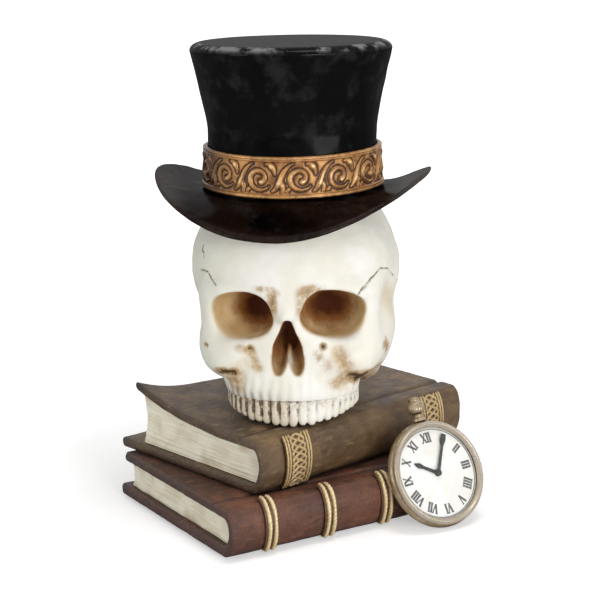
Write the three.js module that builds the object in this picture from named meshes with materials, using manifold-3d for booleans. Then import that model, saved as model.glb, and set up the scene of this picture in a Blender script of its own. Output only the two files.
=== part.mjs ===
// A cast holiday figurine: a skull in a top hat stands on two old books, and a pocket watch leans on them.
// Millimetres, +Z up. The face looks along -Y. The origin is under the middle of the lower book, on the table.

import * as THREE from 'three';
import { mergeVertices } from 'three/addons/utils/BufferGeometryUtils.js';
import Module from 'manifold-3d';

const wasm = await Module();
wasm.setup();

// Clearances
const seatGap = 0.3;
const restGap = 0.1;
const cutOverrun = 2;

// Felt under the lower book
const feltThickness = 1;
const feltInset = 4;

// Lower book. Depth runs from the foot of the spine to the fore edge of the lower board.
const lowerBookLength = 125;
const lowerBookDepth = 90.5;
const lowerBookHeight = 20.9;
const lowerBookYaw = 37.2;
const lowerBookTopBoardSetback = 4;
const lowerBookPagesSetback = 6.5;
const lowerBookLowerBoard = 5.2;
const lowerBookTopBoard = 4.4;
const lowerBookSpineBulge = 6;

// Upper book, turned on the lower one. It is placed by the middle of its spine.
const upperBookLength = 122.6;
const upperBookDepth = 87.5;
const upperBookHeight = 22.8;
const upperBookTurn = 10.7;
const upperBookAlongSpine = 16.2;
const upperBookBehindSpine = 18.86;
const upperBookTopBoardSetback = 10.5;
const upperBookPagesSetback = 13.5;
const upperBookLowerBoard = 4.4;
const upperBookTopBoard = 3.8;
const upperBookSpineBulge = 5.4;

// The upper book's top board is warped up at one corner, with the pages under it, and the tip curls further
const warpHeight = 4.4;
const warpAlongHead = 56;
const warpAlongForeEdge = 82;
const curlHeight = 5.6;
const curlAlongHead = 40;
const curlAlongForeEdge = 30;
const warpSteps = 8;

// Shared by both books
const spineWall = 2.4;
const headRecess = 2.6;
const foreEdgeHollow = 2.2;
const boardEdgeRound = 1.1;
const jointFromSpine = 8.5;
const jointWidth = 4.4;
const jointDepth = 1;

// Raised cords on the lower book's spine, in pairs
const cordPairCount = 4;
const cordPairFromEnd = 19.6;
const cordSpacing = 2.9;
const cordRadius = 0.95;
const cordStrapWidth = 6.4;
const cordStrapThickness = 0.6;
const cordReachOverTop = 0.6;
const cordFootHeight = 1.2;

// Ornamental bands on the upper book's spine
const ornamentFromEnd = 20.6;
const ornamentWidth = 14.4;
const ornamentStrapThickness = 0.7;
const ornamentCordRadius = 0.75;
const ornamentTopTurn = 62;

// Head, placed over the books
const headX = 1.2;
const headY = 5.2;
const headRoll = 1.05;
const skullWidth = 90;
const skullLength = 108;
const skullHeight = 105;

// Eye sockets and nose opening. The sockets differ a little, as the carved original's do.
const socketDepth = 17;
const facePlaneSetback = 14;
const leftSocketWidth = 25.6;
const leftSocketHeight = 20.8;
const leftSocketFromMiddle = 18.8;
const leftSocketUp = 48;
const leftSocketDroop = 8;
const rightSocketWidth = 26.4;
const rightSocketHeight = 21.2;
const rightSocketFromMiddle = 18.9;
const rightSocketUp = 48.8;
const rightSocketDroop = 13;
const noseWidth = 12.8;
const noseHeight = 26;
const noseFoot = 22.2;
const noseDepth = 11;
const noseSplay = 9;

// Facets of the skull, and of the room for it under the hat
const skullColumns = 60;
const skullRows = 42;
const headRoomColumns = 40;
const headRoomRows = 28;

// Upper teeth, set on an arch under the skull
const toothCount = 22;
const archWidth = 56;
const archDepth = 25;
const archFrontSetback = 11;
const toothHeight = 11.2;
const toothThickness = 4.4;
const toothRise = 4.5;
const gumBarHeight = 5;
const gumBarWidth = 5.2;

// Top hat
const hatSink = 9.6;
const hatTilt = -0.7;
const crownHeight = 61.4;
const crownBaseRadius = 36.9;
const crownWaistRadius = 35.9;
const crownTopRadius = 42.8;
const crownWaistHeight = 25;
const crownEdgeRound = 2.6;
const brimReach = 21.5;
const brimThickness = 2.4;
const brimSideRise = 7.9;
const brimFrontDrop = 12.2;
const brimTurn = 6;
const hatSeatGap = 0.7;

// Hat band
const bandHeight = 17;
const bandFoot = 1.2;
const bandThickness = 1.5;
const bandRimHeight = 1.7;
const bandRimProud = 0.8;
const bandDip = 1;

// Pocket watch, leaning on the lower book's spine
const watchAlongSpine = 36.4;
const watchLean = 28;
const watchFootClearance = 0.4;
const caseBackRadius = 21.4;
const caseRadius = 23.1;
const caseHeight = 6;
const caseSeatHeight = 4.4;
const caseSeatRadius = 20.4;
const caseLipRadius = 22.2;
const bezelOuterRadius = 22.4;
const bezelInnerRadius = 19.5;
const bezelHeight = 2.2;
const dialThickness = 1.1;
const handThickness = 0.45;
const hourHandLength = 11.8;
const dialTurn = 3.5;
const minuteHandLength = 17.4;
const hourHandWidth = 1.6;
const minuteHandWidth = 1.5;
const handTipWidth = 3;
const handHubRadius = 1.5;
const handPostRadius = 0.7;
const pendantLength = 3.4;
const pendantRadius = 2.2;
const pendantCollarRadius = 3;
const crownKnobRadius = 3.9;
const crownKnobLength = 5.4;
const crownCapRadius = 2.4;
const crownCapLength = 1.8;

// Hidden locating pins
const dowelRadius = 3;
const dowelDepthInSkull = 7;
const dowelSpacing = 22;
const dowelBack = 26;
const watchPinRadius = 1.5;
const watchPinInCase = 2.6;
const watchPinInBook = 7.5;

// Colours, roughness and metalness
const finishes = {
  leatherDark: { color: 0x54443a, roughness: 0.62, metalness: 0 },
  leatherRed: { color: 0x643e34, roughness: 0.6, metalness: 0 },
  paper: { color: 0xd3c8b0, roughness: 0.85, metalness: 0 },
  gilt: { color: 0xcdb27c, roughness: 0.42, metalness: 0.45 },
  bone: { color: 0xefebdd, roughness: 0.5, metalness: 0 },
  enamelWhite: { color: 0xf2ede0, roughness: 0.4, metalness: 0 },
  hatBlack: { color: 0x16110f, roughness: 0.3, metalness: 0 },
  antiqueGold: { color: 0xa9783f, roughness: 0.42, metalness: 0.55 },
  champagne: { color: 0xb9ab8e, roughness: 0.32, metalness: 0.7 },
  dialWhite: { color: 0xf4f3ee, roughness: 0.4, metalness: 0 },
  handGrey: { color: 0x33322f, roughness: 0.5, metalness: 0.2 },
  steel: { color: 0x9a9a98, roughness: 0.4, metalness: 0.8 },
  felt: { color: 0x23211f, roughness: 0.95, metalness: 0 },
};

const radians = THREE.MathUtils.degToRad;
const lowerBookFoot = feltThickness + restGap;
const lowerBookTop = lowerBookFoot + lowerBookHeight;
const upperBookFoot = lowerBookTop + restGap;
const upperBookTop = upperBookFoot + upperBookHeight;
const facePlane = facePlaneSetback - skullLength / 2;
const archCentreBack = skullLength / 2 - archFrontSetback - archDepth;

// Solids and meshes

function solidOf(geometry) {
  const bare = geometry.clone();
  bare.deleteAttribute('normal');
  bare.deleteAttribute('uv');
  const merged = mergeVertices(bare, 1e-4);
  const vertProperties = new Float32Array(merged.attributes.position.array);
  const triVerts = new Uint32Array(merged.index.array);
  return new wasm.Manifold(new wasm.Mesh({ numProp: 3, vertProperties, triVerts }));
}

function geometryOf(solid) {
  const mesh = solid.getMesh();
  const geometry = new THREE.BufferGeometry();
  geometry.setAttribute('position', new THREE.Float32BufferAttribute(mesh.vertProperties, 3));
  geometry.setIndex(new THREE.Uint32BufferAttribute(mesh.triVerts, 1));
  geometry.computeVertexNormals();
  return geometry;
}

function cutBy(solid, cutters) {
  return cutters.reduce((rest, cutter) => rest.subtract(cutter), solid);
}

function joined(solids) {
  return solids.reduce((sum, next) => sum.add(next));
}

function named(name, geometry, finish) {
  const mesh = new THREE.Mesh(geometry, new THREE.MeshStandardMaterial(finishes[finish]));
  mesh.name = name;
  return mesh;
}

// An outline drawn as depth and height is swept along the book, from its head to its tail.
const sectionToBook = new THREE.Matrix4().makeBasis(
  new THREE.Vector3(0, 1, 0),
  new THREE.Vector3(0, 0, 1),
  new THREE.Vector3(1, 0, 0),
);

function sweptAlongBook(outline, length, steps = 1) {
  const shape = outline instanceof THREE.Shape ? outline : new THREE.Shape(outline);
  const swept = new THREE.ExtrudeGeometry(shape, { depth: length, steps, bevelEnabled: false, curveSegments: 5 });
  swept.translate(0, 0, -length / 2);
  return swept.applyMatrix4(sectionToBook);
}

function translation(x, y, z) {
  return new THREE.Matrix4().makeTranslation(x, y, z);
}

function uprightPin(radius, foot, top, x, y) {
  const pin = new THREE.CylinderGeometry(radius, radius, top - foot, 14);
  pin.rotateX(Math.PI / 2);
  return pin.translate(x, y, (foot + top) / 2);
}

// Books

const lowerBook = {
  length: lowerBookLength,
  depth: lowerBookDepth,
  height: lowerBookHeight,
  foot: lowerBookFoot,
  topSetback: lowerBookTopBoardSetback,
  pagesSetback: lowerBookPagesSetback,
  lowerBoard: lowerBookLowerBoard,
  topBoard: lowerBookTopBoard,
  bulge: lowerBookSpineBulge,
  place: new THREE.Matrix4().makeRotationZ(radians(lowerBookYaw)),
};

const upperBook = {
  length: upperBookLength,
  depth: upperBookDepth,
  height: upperBookHeight,
  foot: upperBookFoot,
  topSetback: upperBookTopBoardSetback,
  pagesSetback: upperBookPagesSetback,
  lowerBoard: upperBookLowerBoard,
  topBoard: upperBookTopBoard,
  bulge: upperBookSpineBulge,
  place: lowerBook.place
    .clone()
    .multiply(translation(upperBookAlongSpine, upperBookBehindSpine - lowerBookDepth / 2, 0))
    .multiply(new THREE.Matrix4().makeRotationZ(radians(upperBookTurn)))
    .multiply(translation(0, upperBookDepth / 2, 0)),
};

const strapRows = 8;

const cordStrap = {
  width: cordStrapWidth,
  thickness: cordStrapThickness,
  cordRadius,
  topTurn: 90,
  reachOverTop: cordReachOverTop,
  columns: 13,
};

const ornamentStrap = {
  width: ornamentWidth,
  thickness: ornamentStrapThickness,
  cordRadius: ornamentCordRadius,
  topTurn: ornamentTopTurn,
  reachOverTop: 0,
  columns: 20,
};

// The spine is half an ellipse that stands out by the bulge. Offset follows it at a distance.
function spineArc(book, offset, foot, topTurn, steps) {
  const middle = book.height / 2;
  const lowest = Math.asin(THREE.MathUtils.clamp((foot - middle) / (middle + offset), -1, 1));
  return Array.from({ length: steps + 1 }, (_, i) => {
    const angle = THREE.MathUtils.lerp(radians(topTurn), lowest, i / steps);
    const depth = -book.depth / 2 - (book.bulge + offset) * Math.cos(angle);
    return new THREE.Vector2(depth, middle + (middle + offset) * Math.sin(angle));
  });
}

// Where the flat of the top board starts, behind the joint's groove
function flatStart(book) {
  return jointFromSpine + jointWidth / 2 - book.depth / 2;
}

function crowdedToForeEdge(start, end, steps) {
  return Array.from({ length: steps + 1 }, (_, i) => THREE.MathUtils.lerp(start, end, 1 - (1 - i / steps) ** 2));
}

function coverOutline(book, topSteps) {
  const spine = -book.depth / 2;
  const foreEdge = book.depth / 2;
  const topEdge = foreEdge - book.topSetback;
  const innerTop = book.height - book.topBoard;
  const outline = new THREE.Shape();
  outline.moveTo(foreEdge - boardEdgeRound, 0);
  outline.lineTo(spine, 0);
  outline.absellipse(spine, book.height / 2, book.bulge, book.height / 2, -Math.PI / 2, -1.5 * Math.PI, true);
  outline.lineTo(spine + jointFromSpine - jointWidth / 2, book.height);
  outline.quadraticCurveTo(
    spine + jointFromSpine,
    book.height - 2 * jointDepth,
    spine + jointFromSpine + jointWidth / 2,
    book.height,
  );
  const boardPlaces = crowdedToForeEdge(flatStart(book), topEdge - boardEdgeRound, topSteps);
  for (const place of boardPlaces.slice(1)) outline.lineTo(place, book.height);
  outline.quadraticCurveTo(topEdge, book.height, topEdge, book.height - book.topBoard / 2);
  outline.quadraticCurveTo(topEdge, innerTop, topEdge - boardEdgeRound, innerTop);
  for (const place of boardPlaces.slice(1, -1).reverse()) outline.lineTo(place, innerTop);
  outline.lineTo(spine, innerTop);
  outline.absellipse(
    spine,
    (innerTop + book.lowerBoard) / 2,
    book.bulge - spineWall,
    (innerTop - book.lowerBoard) / 2,
    Math.PI / 2,
    1.5 * Math.PI,
    false,
  );
  outline.lineTo(foreEdge - boardEdgeRound, book.lowerBoard);
  outline.quadraticCurveTo(foreEdge, book.lowerBoard, foreEdge, book.lowerBoard / 2);
  outline.quadraticCurveTo(foreEdge, 0, foreEdge - boardEdgeRound, 0);
  return outline;
}

// Pages that follow a warped board first reach up into it, and are then cut by it.
function pagesOutline(book, topSteps, reachIntoBoard) {
  const spine = -book.depth / 2;
  const foreEdge = book.depth / 2 - book.pagesSetback;
  const foot = book.lowerBoard + restGap;
  const top = book.height - book.topBoard - restGap;
  const outline = new THREE.Shape();
  outline.moveTo(foreEdge, foot);
  outline.lineTo(spine, foot);
  outline.absellipse(
    spine,
    (foot + top) / 2,
    book.bulge - spineWall - seatGap,
    (top - foot) / 2,
    -Math.PI / 2,
    -1.5 * Math.PI,
    true,
  );
  const places = crowdedToForeEdge(flatStart(book), foreEdge, topSteps);
  if (reachIntoBoard > 0) outline.lineTo(places[0], top);
  for (const place of places.slice(1)) outline.lineTo(place, top + reachIntoBoard);
  outline.quadraticCurveTo(foreEdge - 2 * foreEdgeHollow, (foot + top) / 2, foreEdge, foot);
  return outline;
}

// Steps along the book crowd towards its head, where the corner lifts.
function crowdedToHead(geometry, length) {
  const points = geometry.attributes.position;
  for (let i = 0; i < points.count; i += 1) {
    const share = THREE.MathUtils.clamp(points.getX(i) / length + 0.5, 0, 1);
    points.setX(i, length * (share ** 2.2 - 0.5));
  }
  return geometry;
}

// Points above the board's foot lift towards the head and the fore edge, in a wide warp and a tighter curl.
function liftCorner(geometry, book) {
  const points = geometry.attributes.position;
  const topEdge = book.depth / 2 - book.topSetback;
  const boardFoot = book.height - book.topBoard - restGap;
  for (let i = 0; i < points.count; i += 1) {
    const along = points.getX(i) + book.length / 2;
    const across = topEdge - points.getY(i);
    const warp = Math.max(0, 1 - along / warpAlongForeEdge - across / warpAlongHead);
    const curl = Math.max(0, 1 - along / curlAlongForeEdge - across / curlAlongHead);
    const lift = warpHeight * warp + curlHeight * curl ** 2;
    if (points.getZ(i) > boardFoot) points.setZ(i, points.getZ(i) + lift);
  }
  return geometry;
}

// A strap bent over the spine, from the top board down to the foot. Its outer face carries round cords.
function spineStrap(book, centre, strap, cordPlaces) {
  const [inner, outer] = [seatGap, seatGap + strap.thickness].map((offset) => {
    const arc = spineArc(book, offset, cordFootHeight, strap.topTurn, strapRows);
    const topEnd = new THREE.Vector2(-book.depth / 2 + strap.reachOverTop, arc[0].y);
    return strap.reachOverTop > 0 ? [topEnd, ...arc] : arc;
  });
  const swept = sweptAlongBook([...outer, ...inner.reverse()], strap.width, strap.columns);
  const middle = new THREE.Vector2(-book.depth / 2, book.height / 2);
  const points = swept.attributes.position;
  for (let i = 0; i < points.count; i += 1) {
    const away = new THREE.Vector2(points.getY(i), points.getZ(i)).sub(middle);
    if (distanceFromSpine(book, away) > seatGap + strap.thickness / 2) {
      const proud = cordHeightAt(points.getX(i), cordPlaces, strap.cordRadius);
      const overTop = away.x > 0;
      const outward = overTop ? new THREE.Vector2(0, 1) : away.clone().divide(spineHalves(book)).normalize();
      points.setY(i, points.getY(i) + outward.x * proud);
      points.setZ(i, points.getZ(i) + outward.y * proud);
    }
  }
  return solidOf(swept.translate(centre, 0, book.foot));
}

function spineHalves(book) {
  return new THREE.Vector2(book.bulge, book.height / 2);
}

// How far a point lies outside the spine's ellipse, or above the top board
function distanceFromSpine(book, away) {
  if (away.x > 0) return away.y - book.height / 2;
  const halves = spineHalves(book);
  const reach = away.clone().divide(halves).length();
  return (away.length() * (reach - 1)) / reach;
}

function cordHeightAt(place, cordPlaces, radius) {
  const heights = cordPlaces.map((cord) => Math.sqrt(Math.max(0, radius ** 2 - (place - cord) ** 2)));
  return Math.max(...heights);
}

// Skull. A form is a ball or a bar. Places are shares of half the width, half the length and the height.
// Radii and blends are shares of half the width. A form without sides lies on the middle plane.
const skullFormShares = [
  { at: [0, 0.074, 0.571], size: [1, 0.926, 0.4], blend: 0.222 },
  { at: [0, 0.444, 0.476], size: [0.911, 0.611, 0.305], blend: 0.222 },
  { at: [0, -0.389, 0.648], size: [0.867, 0.444, 0.238], blend: 0.222 },
  { at: [0.111, -0.778, 0.538], to: [0.578, -0.704, 0.548], radii: [0.08, 0.076], blend: 0.178, sides: [-1, 1] },
  { at: [0.689, -0.574, 0.524], to: [0.689, -0.519, 0.362], radii: [0.122, 0.144], blend: 0.178, sides: [-1, 1] },
  { at: [0.533, -0.546, 0.271], size: [0.289, 0.231, 0.095], blend: 0.178, sides: [-1, 1] },
  { at: [0.667, -0.389, 0.295], to: [0.744, 0.037, 0.343], radii: [0.151, 0.133], blend: 0.178, sides: [-1, 1] },
  { at: [0, -0.481, 0.314], size: [0.556, 0.306, 0.181], blend: 0.178 },
  { at: [0, -0.389, 0.143], size: [0.633, 0.417, 0.143], blend: 0.156 },
  { at: [0.556, 0.259, 0.162], size: [0.144, 0.185, 0.124], blend: 0.178, sides: [-1] },
  { at: [0.633, 0.185, 0.186], size: [0.2, 0.222, 0.124], blend: 0.178, sides: [1] },
  { at: [0.744, -0.111, 0.305], size: [0.189, 0.278, 0.143], blend: 0.222, sides: [1] },
  { at: [0, 0.481, 0.219], size: [0.689, 0.519, 0.248], blend: 0.178 },
  { at: [0, -0.787, 0.543], to: [0, -0.852, 0.462], radii: [0.071, 0.058], blend: 0.111 },
];
const skullCentreShares = [0, 0.12, 0.46];

function skullForms() {
  const half = new THREE.Vector3(skullWidth / 2, skullLength / 2, skullHeight);
  const placed = (shares, side = 1) => new THREE.Vector3(side * shares[0], shares[1], shares[2]).multiply(half);
  return skullFormShares.flatMap(({ at, to, size, radii, blend, sides = [1] }) =>
    sides.map((side) => ({
      at: placed(at, side),
      to: to && placed(to, side),
      size: size && placed(size),
      radii: radii && radii.map((share) => share * half.x),
      blend: blend * half.x,
    })),
  );
}

function distanceToForm(point, form) {
  const near = point.clone().sub(form.at);
  if (form.to) {
    const run = form.to.clone().sub(form.at);
    const share = THREE.MathUtils.clamp(near.dot(run) / run.lengthSq(), 0, 1);
    return near.addScaledVector(run, -share).length() - THREE.MathUtils.lerp(...form.radii, share);
  }
  const reach = near.divide(form.size).length();
  return (reach * (reach - 1)) / near.divide(form.size).length();
}

// A smooth blend of the forms, negative inside
function distanceToSkull(point, forms) {
  return forms.reduce((nearest, form) => {
    const next = distanceToForm(point, form);
    const mix = THREE.MathUtils.clamp(0.5 + (0.5 * (next - nearest)) / form.blend, 0, 1);
    return THREE.MathUtils.lerp(next, nearest, mix) - form.blend * mix * (1 - mix);
  }, skullLength);
}

// A ball whose points are drawn in from outside to the blend. Its poles lie along Y, so the face is finest.
function skullBody(grow, columns, rows) {
  const forms = skullForms();
  const ball = new THREE.SphereGeometry(1, columns, rows).rotateX(Math.PI / 2);
  const centre = new THREE.Vector3(skullWidth, skullLength / 2, skullHeight)
    .multiply(new THREE.Vector3(...skullCentreShares));
  const points = ball.attributes.position;
  const marches = 60;
  for (let i = 0; i < points.count; i += 1) {
    const direction = new THREE.Vector3().fromBufferAttribute(points, i).normalize();
    const at = (reach) => direction.clone().multiplyScalar(reach).add(centre);
    let reach = skullLength;
    for (let step = 0; step < marches; step += 1) reach -= 0.8 * distanceToSkull(at(reach), forms);
    const place = at(reach + grow);
    points.setXYZ(i, place.x, place.y, place.z);
  }
  return solidOf(ball);
}

// A ball with squarer shoulders, for the eye sockets
function squareBall(width, depth, height, squareness, columns, rows) {
  const ball = new THREE.SphereGeometry(1, columns, rows).rotateX(Math.PI / 2);
  const points = ball.attributes.position;
  for (let i = 0; i < points.count; i += 1) {
    const point = new THREE.Vector3().fromBufferAttribute(points, i);
    const across = Math.abs(point.x) ** squareness + Math.abs(point.z) ** squareness;
    const round = Math.hypot(point.x, point.z);
    const grow = round > 0 ? round / across ** (1 / squareness) : 1;
    points.setXYZ(i, (point.x * grow * width) / 2, (point.y * depth) / 2, (point.z * grow * height) / 2);
  }
  return ball;
}

function eyeSocket(side, width, height, fromMiddle, up, droop) {
  const ball = squareBall(width, 2 * socketDepth, height, 2.6, 26, 14);
  ball.rotateY(side * radians(droop));
  return solidOf(ball.translate(side * fromMiddle, facePlane, up));
}

function eyeSockets() {
  return [
    eyeSocket(-1, leftSocketWidth, leftSocketHeight, leftSocketFromMiddle, leftSocketUp, leftSocketDroop),
    eyeSocket(1, rightSocketWidth, rightSocketHeight, rightSocketFromMiddle, rightSocketUp, rightSocketDroop),
  ];
}

// A tall upper hollow and two splayed lobes below it
function noseOpening() {
  const hollow = (width, height) => {
    return new THREE.SphereGeometry(0.5, 16, 12).scale(width, 2 * noseDepth, height);
  };
  const upperHeight = 0.85 * noseHeight;
  const upper = hollow(0.56 * noseWidth, upperHeight);
  upper.translate(0, facePlane - 0.1 * noseDepth, noseFoot + noseHeight - upperHeight / 2);
  const lobeHeight = 0.64 * noseHeight;
  const lobes = [-1, 1].map((side) => {
    const lobe = hollow(0.52 * noseWidth, lobeHeight).rotateY(-side * radians(noseSplay));
    return solidOf(lobe.translate(side * 0.24 * noseWidth, facePlane, noseFoot + lobeHeight / 2));
  });
  return joined([solidOf(upper), ...lobes]);
}

const headRollMatrix = new THREE.Matrix4().makeRotationY(-radians(headRoll));

function rolled(solid) {
  return solid.transform(headRollMatrix.toArray());
}

function archPoint(turn, inset) {
  const half = archWidth / 2 - inset;
  return new THREE.Vector2(half * Math.sin(turn), -archCentreBack - (archDepth - inset) * Math.cos(turn));
}

// A bar along the arch. Its ends run on past the last teeth by a distance.
function archBar(outerInset, innerInset, foot, top, endRun) {
  const endTurn = Math.PI / 2 + endRun / archDepth;
  const turns = Array.from({ length: 25 }, (_, i) => THREE.MathUtils.lerp(-endTurn, endTurn, i / 24));
  const outline = [
    ...turns.map((turn) => archPoint(turn, outerInset)),
    ...turns.reverse().map((turn) => archPoint(turn, innerInset)),
  ];
  const bar = new THREE.ExtrudeGeometry(new THREE.Shape(outline), { depth: top - foot, bevelEnabled: false });
  return solidOf(bar.translate(0, 0, foot));
}

function teethSolid() {
  const barTop = toothHeight;
  const bar = archBar(toothThickness / 4, gumBarWidth, barTop - gumBarHeight, barTop, 0);
  const stepTurn = Math.PI / toothCount;
  const toothWidth = (Math.PI * (archWidth / 2 + archDepth)) / 2 / toothCount;
  const teeth = Array.from({ length: toothCount }, (_, i) => {
    const turn = -Math.PI / 2 + (i + 0.5) * stepTurn;
    const rise = toothRise * Math.sin(turn) ** 2;
    const place = archPoint(turn, toothThickness / 2);
    const tooth = new THREE.CylinderGeometry(0.5, 0.44, barTop - rise, 8).rotateX(Math.PI / 2);
    tooth.scale(toothWidth * 1.02, toothThickness, 1);
    tooth.rotateZ(turn);
    return solidOf(tooth.translate(place.x, place.y, (barTop + rise) / 2));
  });
  return joined([bar, ...teeth]);
}

// Hat. Heights here are above the ring where the crown meets the brim.
function crownRadiusAt(height) {
  if (height < crownWaistHeight) {
    const share = (crownWaistHeight - height) / crownWaistHeight;
    return crownWaistRadius + (crownBaseRadius - crownWaistRadius) * share ** 2;
  }
  const share = (height - crownWaistHeight) / (crownHeight - crownEdgeRound - crownWaistHeight);
  return crownWaistRadius + (crownTopRadius - crownWaistRadius) * Math.min(share, 1) ** 1.25;
}

function hatSolid() {
  const brimSteps = 6;
  const crownSteps = 8;
  const edgeSteps = 3;
  const brimRadius = crownBaseRadius + brimReach;
  const profile = [new THREE.Vector2(0, -brimThickness)];
  for (let i = 0; i <= brimSteps; i += 1) {
    profile.push(new THREE.Vector2(crownBaseRadius + (brimReach * i) / brimSteps, -brimThickness));
  }
  profile.push(new THREE.Vector2(brimRadius + brimThickness / 4, -brimThickness / 2));
  for (let i = brimSteps; i >= 0; i -= 1) {
    profile.push(new THREE.Vector2(crownBaseRadius + (brimReach * i) / brimSteps, 0));
  }
  for (let i = 1; i <= crownSteps; i += 1) {
    const height = ((crownHeight - crownEdgeRound) * i) / crownSteps;
    profile.push(new THREE.Vector2(crownRadiusAt(height), height));
  }
  for (let i = 1; i <= edgeSteps; i += 1) {
    const turn = ((Math.PI / 2) * i) / edgeSteps;
    const inward = crownEdgeRound * (1 - Math.cos(turn));
    const drop = crownEdgeRound * (1 - Math.sin(turn));
    profile.push(new THREE.Vector2(crownTopRadius - inward, crownHeight - drop));
  }
  profile.push(new THREE.Vector2(0, crownHeight));
  return solidOf(bentBrim(new THREE.LatheGeometry(profile, 48).rotateX(Math.PI / 2)));
}

// The brim rolls up at the sides and dips over the face and the back of the head, a little askew.
function bentBrim(geometry) {
  const points = geometry.attributes.position;
  for (let i = 0; i < points.count; i += 1) {
    const x = points.getX(i);
    const y = points.getY(i);
    const radius = Math.hypot(x, y);
    const share = (radius - crownBaseRadius) / brimReach;
    if (share > 0 && points.getZ(i) < restGap) {
      const sideways = Math.cos(Math.atan2(y, x) + radians(brimTurn)) ** 2;
      const bend = sideways * brimSideRise * share ** 2.2 - (1 - sideways) * brimFrontDrop * share;
      points.setZ(i, points.getZ(i) + bend);
    }
  }
  return geometry;
}

// The band dips a little over the face and the back of the head, as the brim below it does.
function dippedWithBrim(geometry) {
  const places = geometry.attributes.position;
  for (let i = 0; i < places.count; i += 1) {
    const sideways = Math.cos(Math.atan2(places.getY(i), places.getX(i))) ** 2;
    places.setZ(i, places.getZ(i) - bandDip * (1 - sideways));
  }
  return geometry;
}

function bandGeometry() {
  const steps = 4;
  const wall = (share, proud) => {
    const height = bandFoot + bandHeight * share;
    return new THREE.Vector2(crownRadiusAt(height) + seatGap + proud, height);
  };
  const inner = Array.from({ length: steps + 1 }, (_, i) => wall(i / steps, 0));
  const rimShare = bandRimHeight / bandHeight;
  const outer = [
    wall(1, bandThickness + bandRimProud),
    wall(1 - rimShare, bandThickness + bandRimProud),
    wall(1 - 1.3 * rimShare, bandThickness),
    wall(1.3 * rimShare, bandThickness),
    wall(rimShare, bandThickness + bandRimProud),
    wall(0, bandThickness + bandRimProud),
  ];
  const profile = [...inner, ...outer, inner[0]];
  const ring = new THREE.LatheGeometry(profile.reverse(), 48).rotateX(Math.PI / 2);
  return dippedWithBrim(ring);
}

// Watch. Its own axes are X to the right, Y to twelve o'clock and Z out of the dial, from the case's back.
function lathedAbout(profile, segments) {
  const points = profile.map(([radius, height]) => new THREE.Vector2(radius, height));
  return new THREE.LatheGeometry(points, segments).rotateX(Math.PI / 2);
}

function caseProfile(grow) {
  return [
    [0, -grow],
    [caseBackRadius - 1.6 + grow, -grow],
    [caseBackRadius + grow, 0.14 * caseHeight],
    [caseRadius + grow, 0.5 * caseHeight],
    [caseRadius + grow, 0.75 * caseHeight],
    [caseLipRadius + grow, caseHeight],
    [caseSeatRadius, caseHeight],
    [caseSeatRadius, caseSeatHeight],
    [0, caseSeatHeight],
  ];
}

function bezelGeometry() {
  const foot = caseHeight + seatGap;
  const top = foot + bezelHeight;
  return lathedAbout(
    [
      [bezelInnerRadius, foot],
      [bezelOuterRadius, foot],
      [bezelOuterRadius, foot + 0.4 * bezelHeight],
      [bezelOuterRadius - 0.7, top - 0.12 * bezelHeight],
      [(bezelOuterRadius + bezelInnerRadius) / 2, top],
      [bezelInnerRadius + 0.5, top - 0.3 * bezelHeight],
      [bezelInnerRadius, foot + 0.35 * bezelHeight],
      [bezelInnerRadius, foot],
    ],
    40,
  );
}

// A hand is a bar that widens towards its tip, with a round hub that the post passes through.
function handGeometry(length, width, foot, clockTurn) {
  const bar = new THREE.Shape();
  bar.moveTo(-width / 2, -0.8 * handHubRadius);
  bar.lineTo(width / 2, -0.8 * handHubRadius);
  bar.lineTo(width / 2, length - 2 * handTipWidth);
  bar.lineTo(handTipWidth / 2, length - handTipWidth);
  bar.lineTo(handTipWidth / 2, length);
  bar.lineTo(-handTipWidth / 2, length);
  bar.lineTo(-handTipWidth / 2, length - handTipWidth);
  bar.lineTo(-width / 2, length - 2 * handTipWidth);
  const options = { depth: handThickness, bevelEnabled: false };
  const hub = new THREE.CylinderGeometry(handHubRadius, handHubRadius, handThickness, 20).rotateX(Math.PI / 2);
  hub.translate(0, 0, handThickness / 2);
  const hole = uprightPin(handPostRadius + seatGap, -cutOverrun, handThickness + cutOverrun, 0, 0);
  const plate = cutBy(joined([solidOf(new THREE.ExtrudeGeometry(bar, options)), solidOf(hub)]), [solidOf(hole)]);
  const geometry = geometryOf(plate);
  geometry.rotateZ(-clockTurn);
  return geometry.translate(0, 0, foot);
}

function lathedUp(profile, start, segments) {
  const points = profile.map(([radius, along]) => new THREE.Vector2(radius, start + along));
  return new THREE.LatheGeometry(points, segments).translate(0, 0, caseHeight / 2);
}

const pendantStart = caseRadius;
const crownStart = pendantStart + pendantLength + seatGap;

function pendantGeometry() {
  const tube = lathedUp(
    [
      [0, -1],
      [pendantCollarRadius, -1],
      [pendantCollarRadius, 0.4 * pendantLength],
      [pendantRadius, 0.55 * pendantLength],
      [pendantRadius, 0.8 * pendantLength],
      [1.2 * pendantRadius, pendantLength],
      [0, pendantLength],
    ],
    pendantStart,
    24,
  );
  const caseEnvelope = lathedAbout(
    [
      [0, -cutOverrun],
      [caseRadius + seatGap, -cutOverrun],
      [caseRadius + seatGap, caseHeight + cutOverrun],
      [0, caseHeight + cutOverrun],
    ],
    40,
  );
  return geometryOf(cutBy(solidOf(tube), [solidOf(caseEnvelope)]));
}

function crownKnobGeometry() {
  return lathedUp(
    [
      [0, 0],
      [0.6 * crownKnobRadius, 0],
      [0.94 * crownKnobRadius, 0.18 * crownKnobLength],
      [crownKnobRadius, 0.45 * crownKnobLength],
      [0.9 * crownKnobRadius, 0.78 * crownKnobLength],
      [crownCapRadius, crownKnobLength],
      [crownCapRadius, crownKnobLength + 0.7 * crownCapLength],
      [0.6 * crownCapRadius, crownKnobLength + crownCapLength],
      [0, crownKnobLength + crownCapLength],
    ],
    crownStart,
    28,
  );
}

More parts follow.
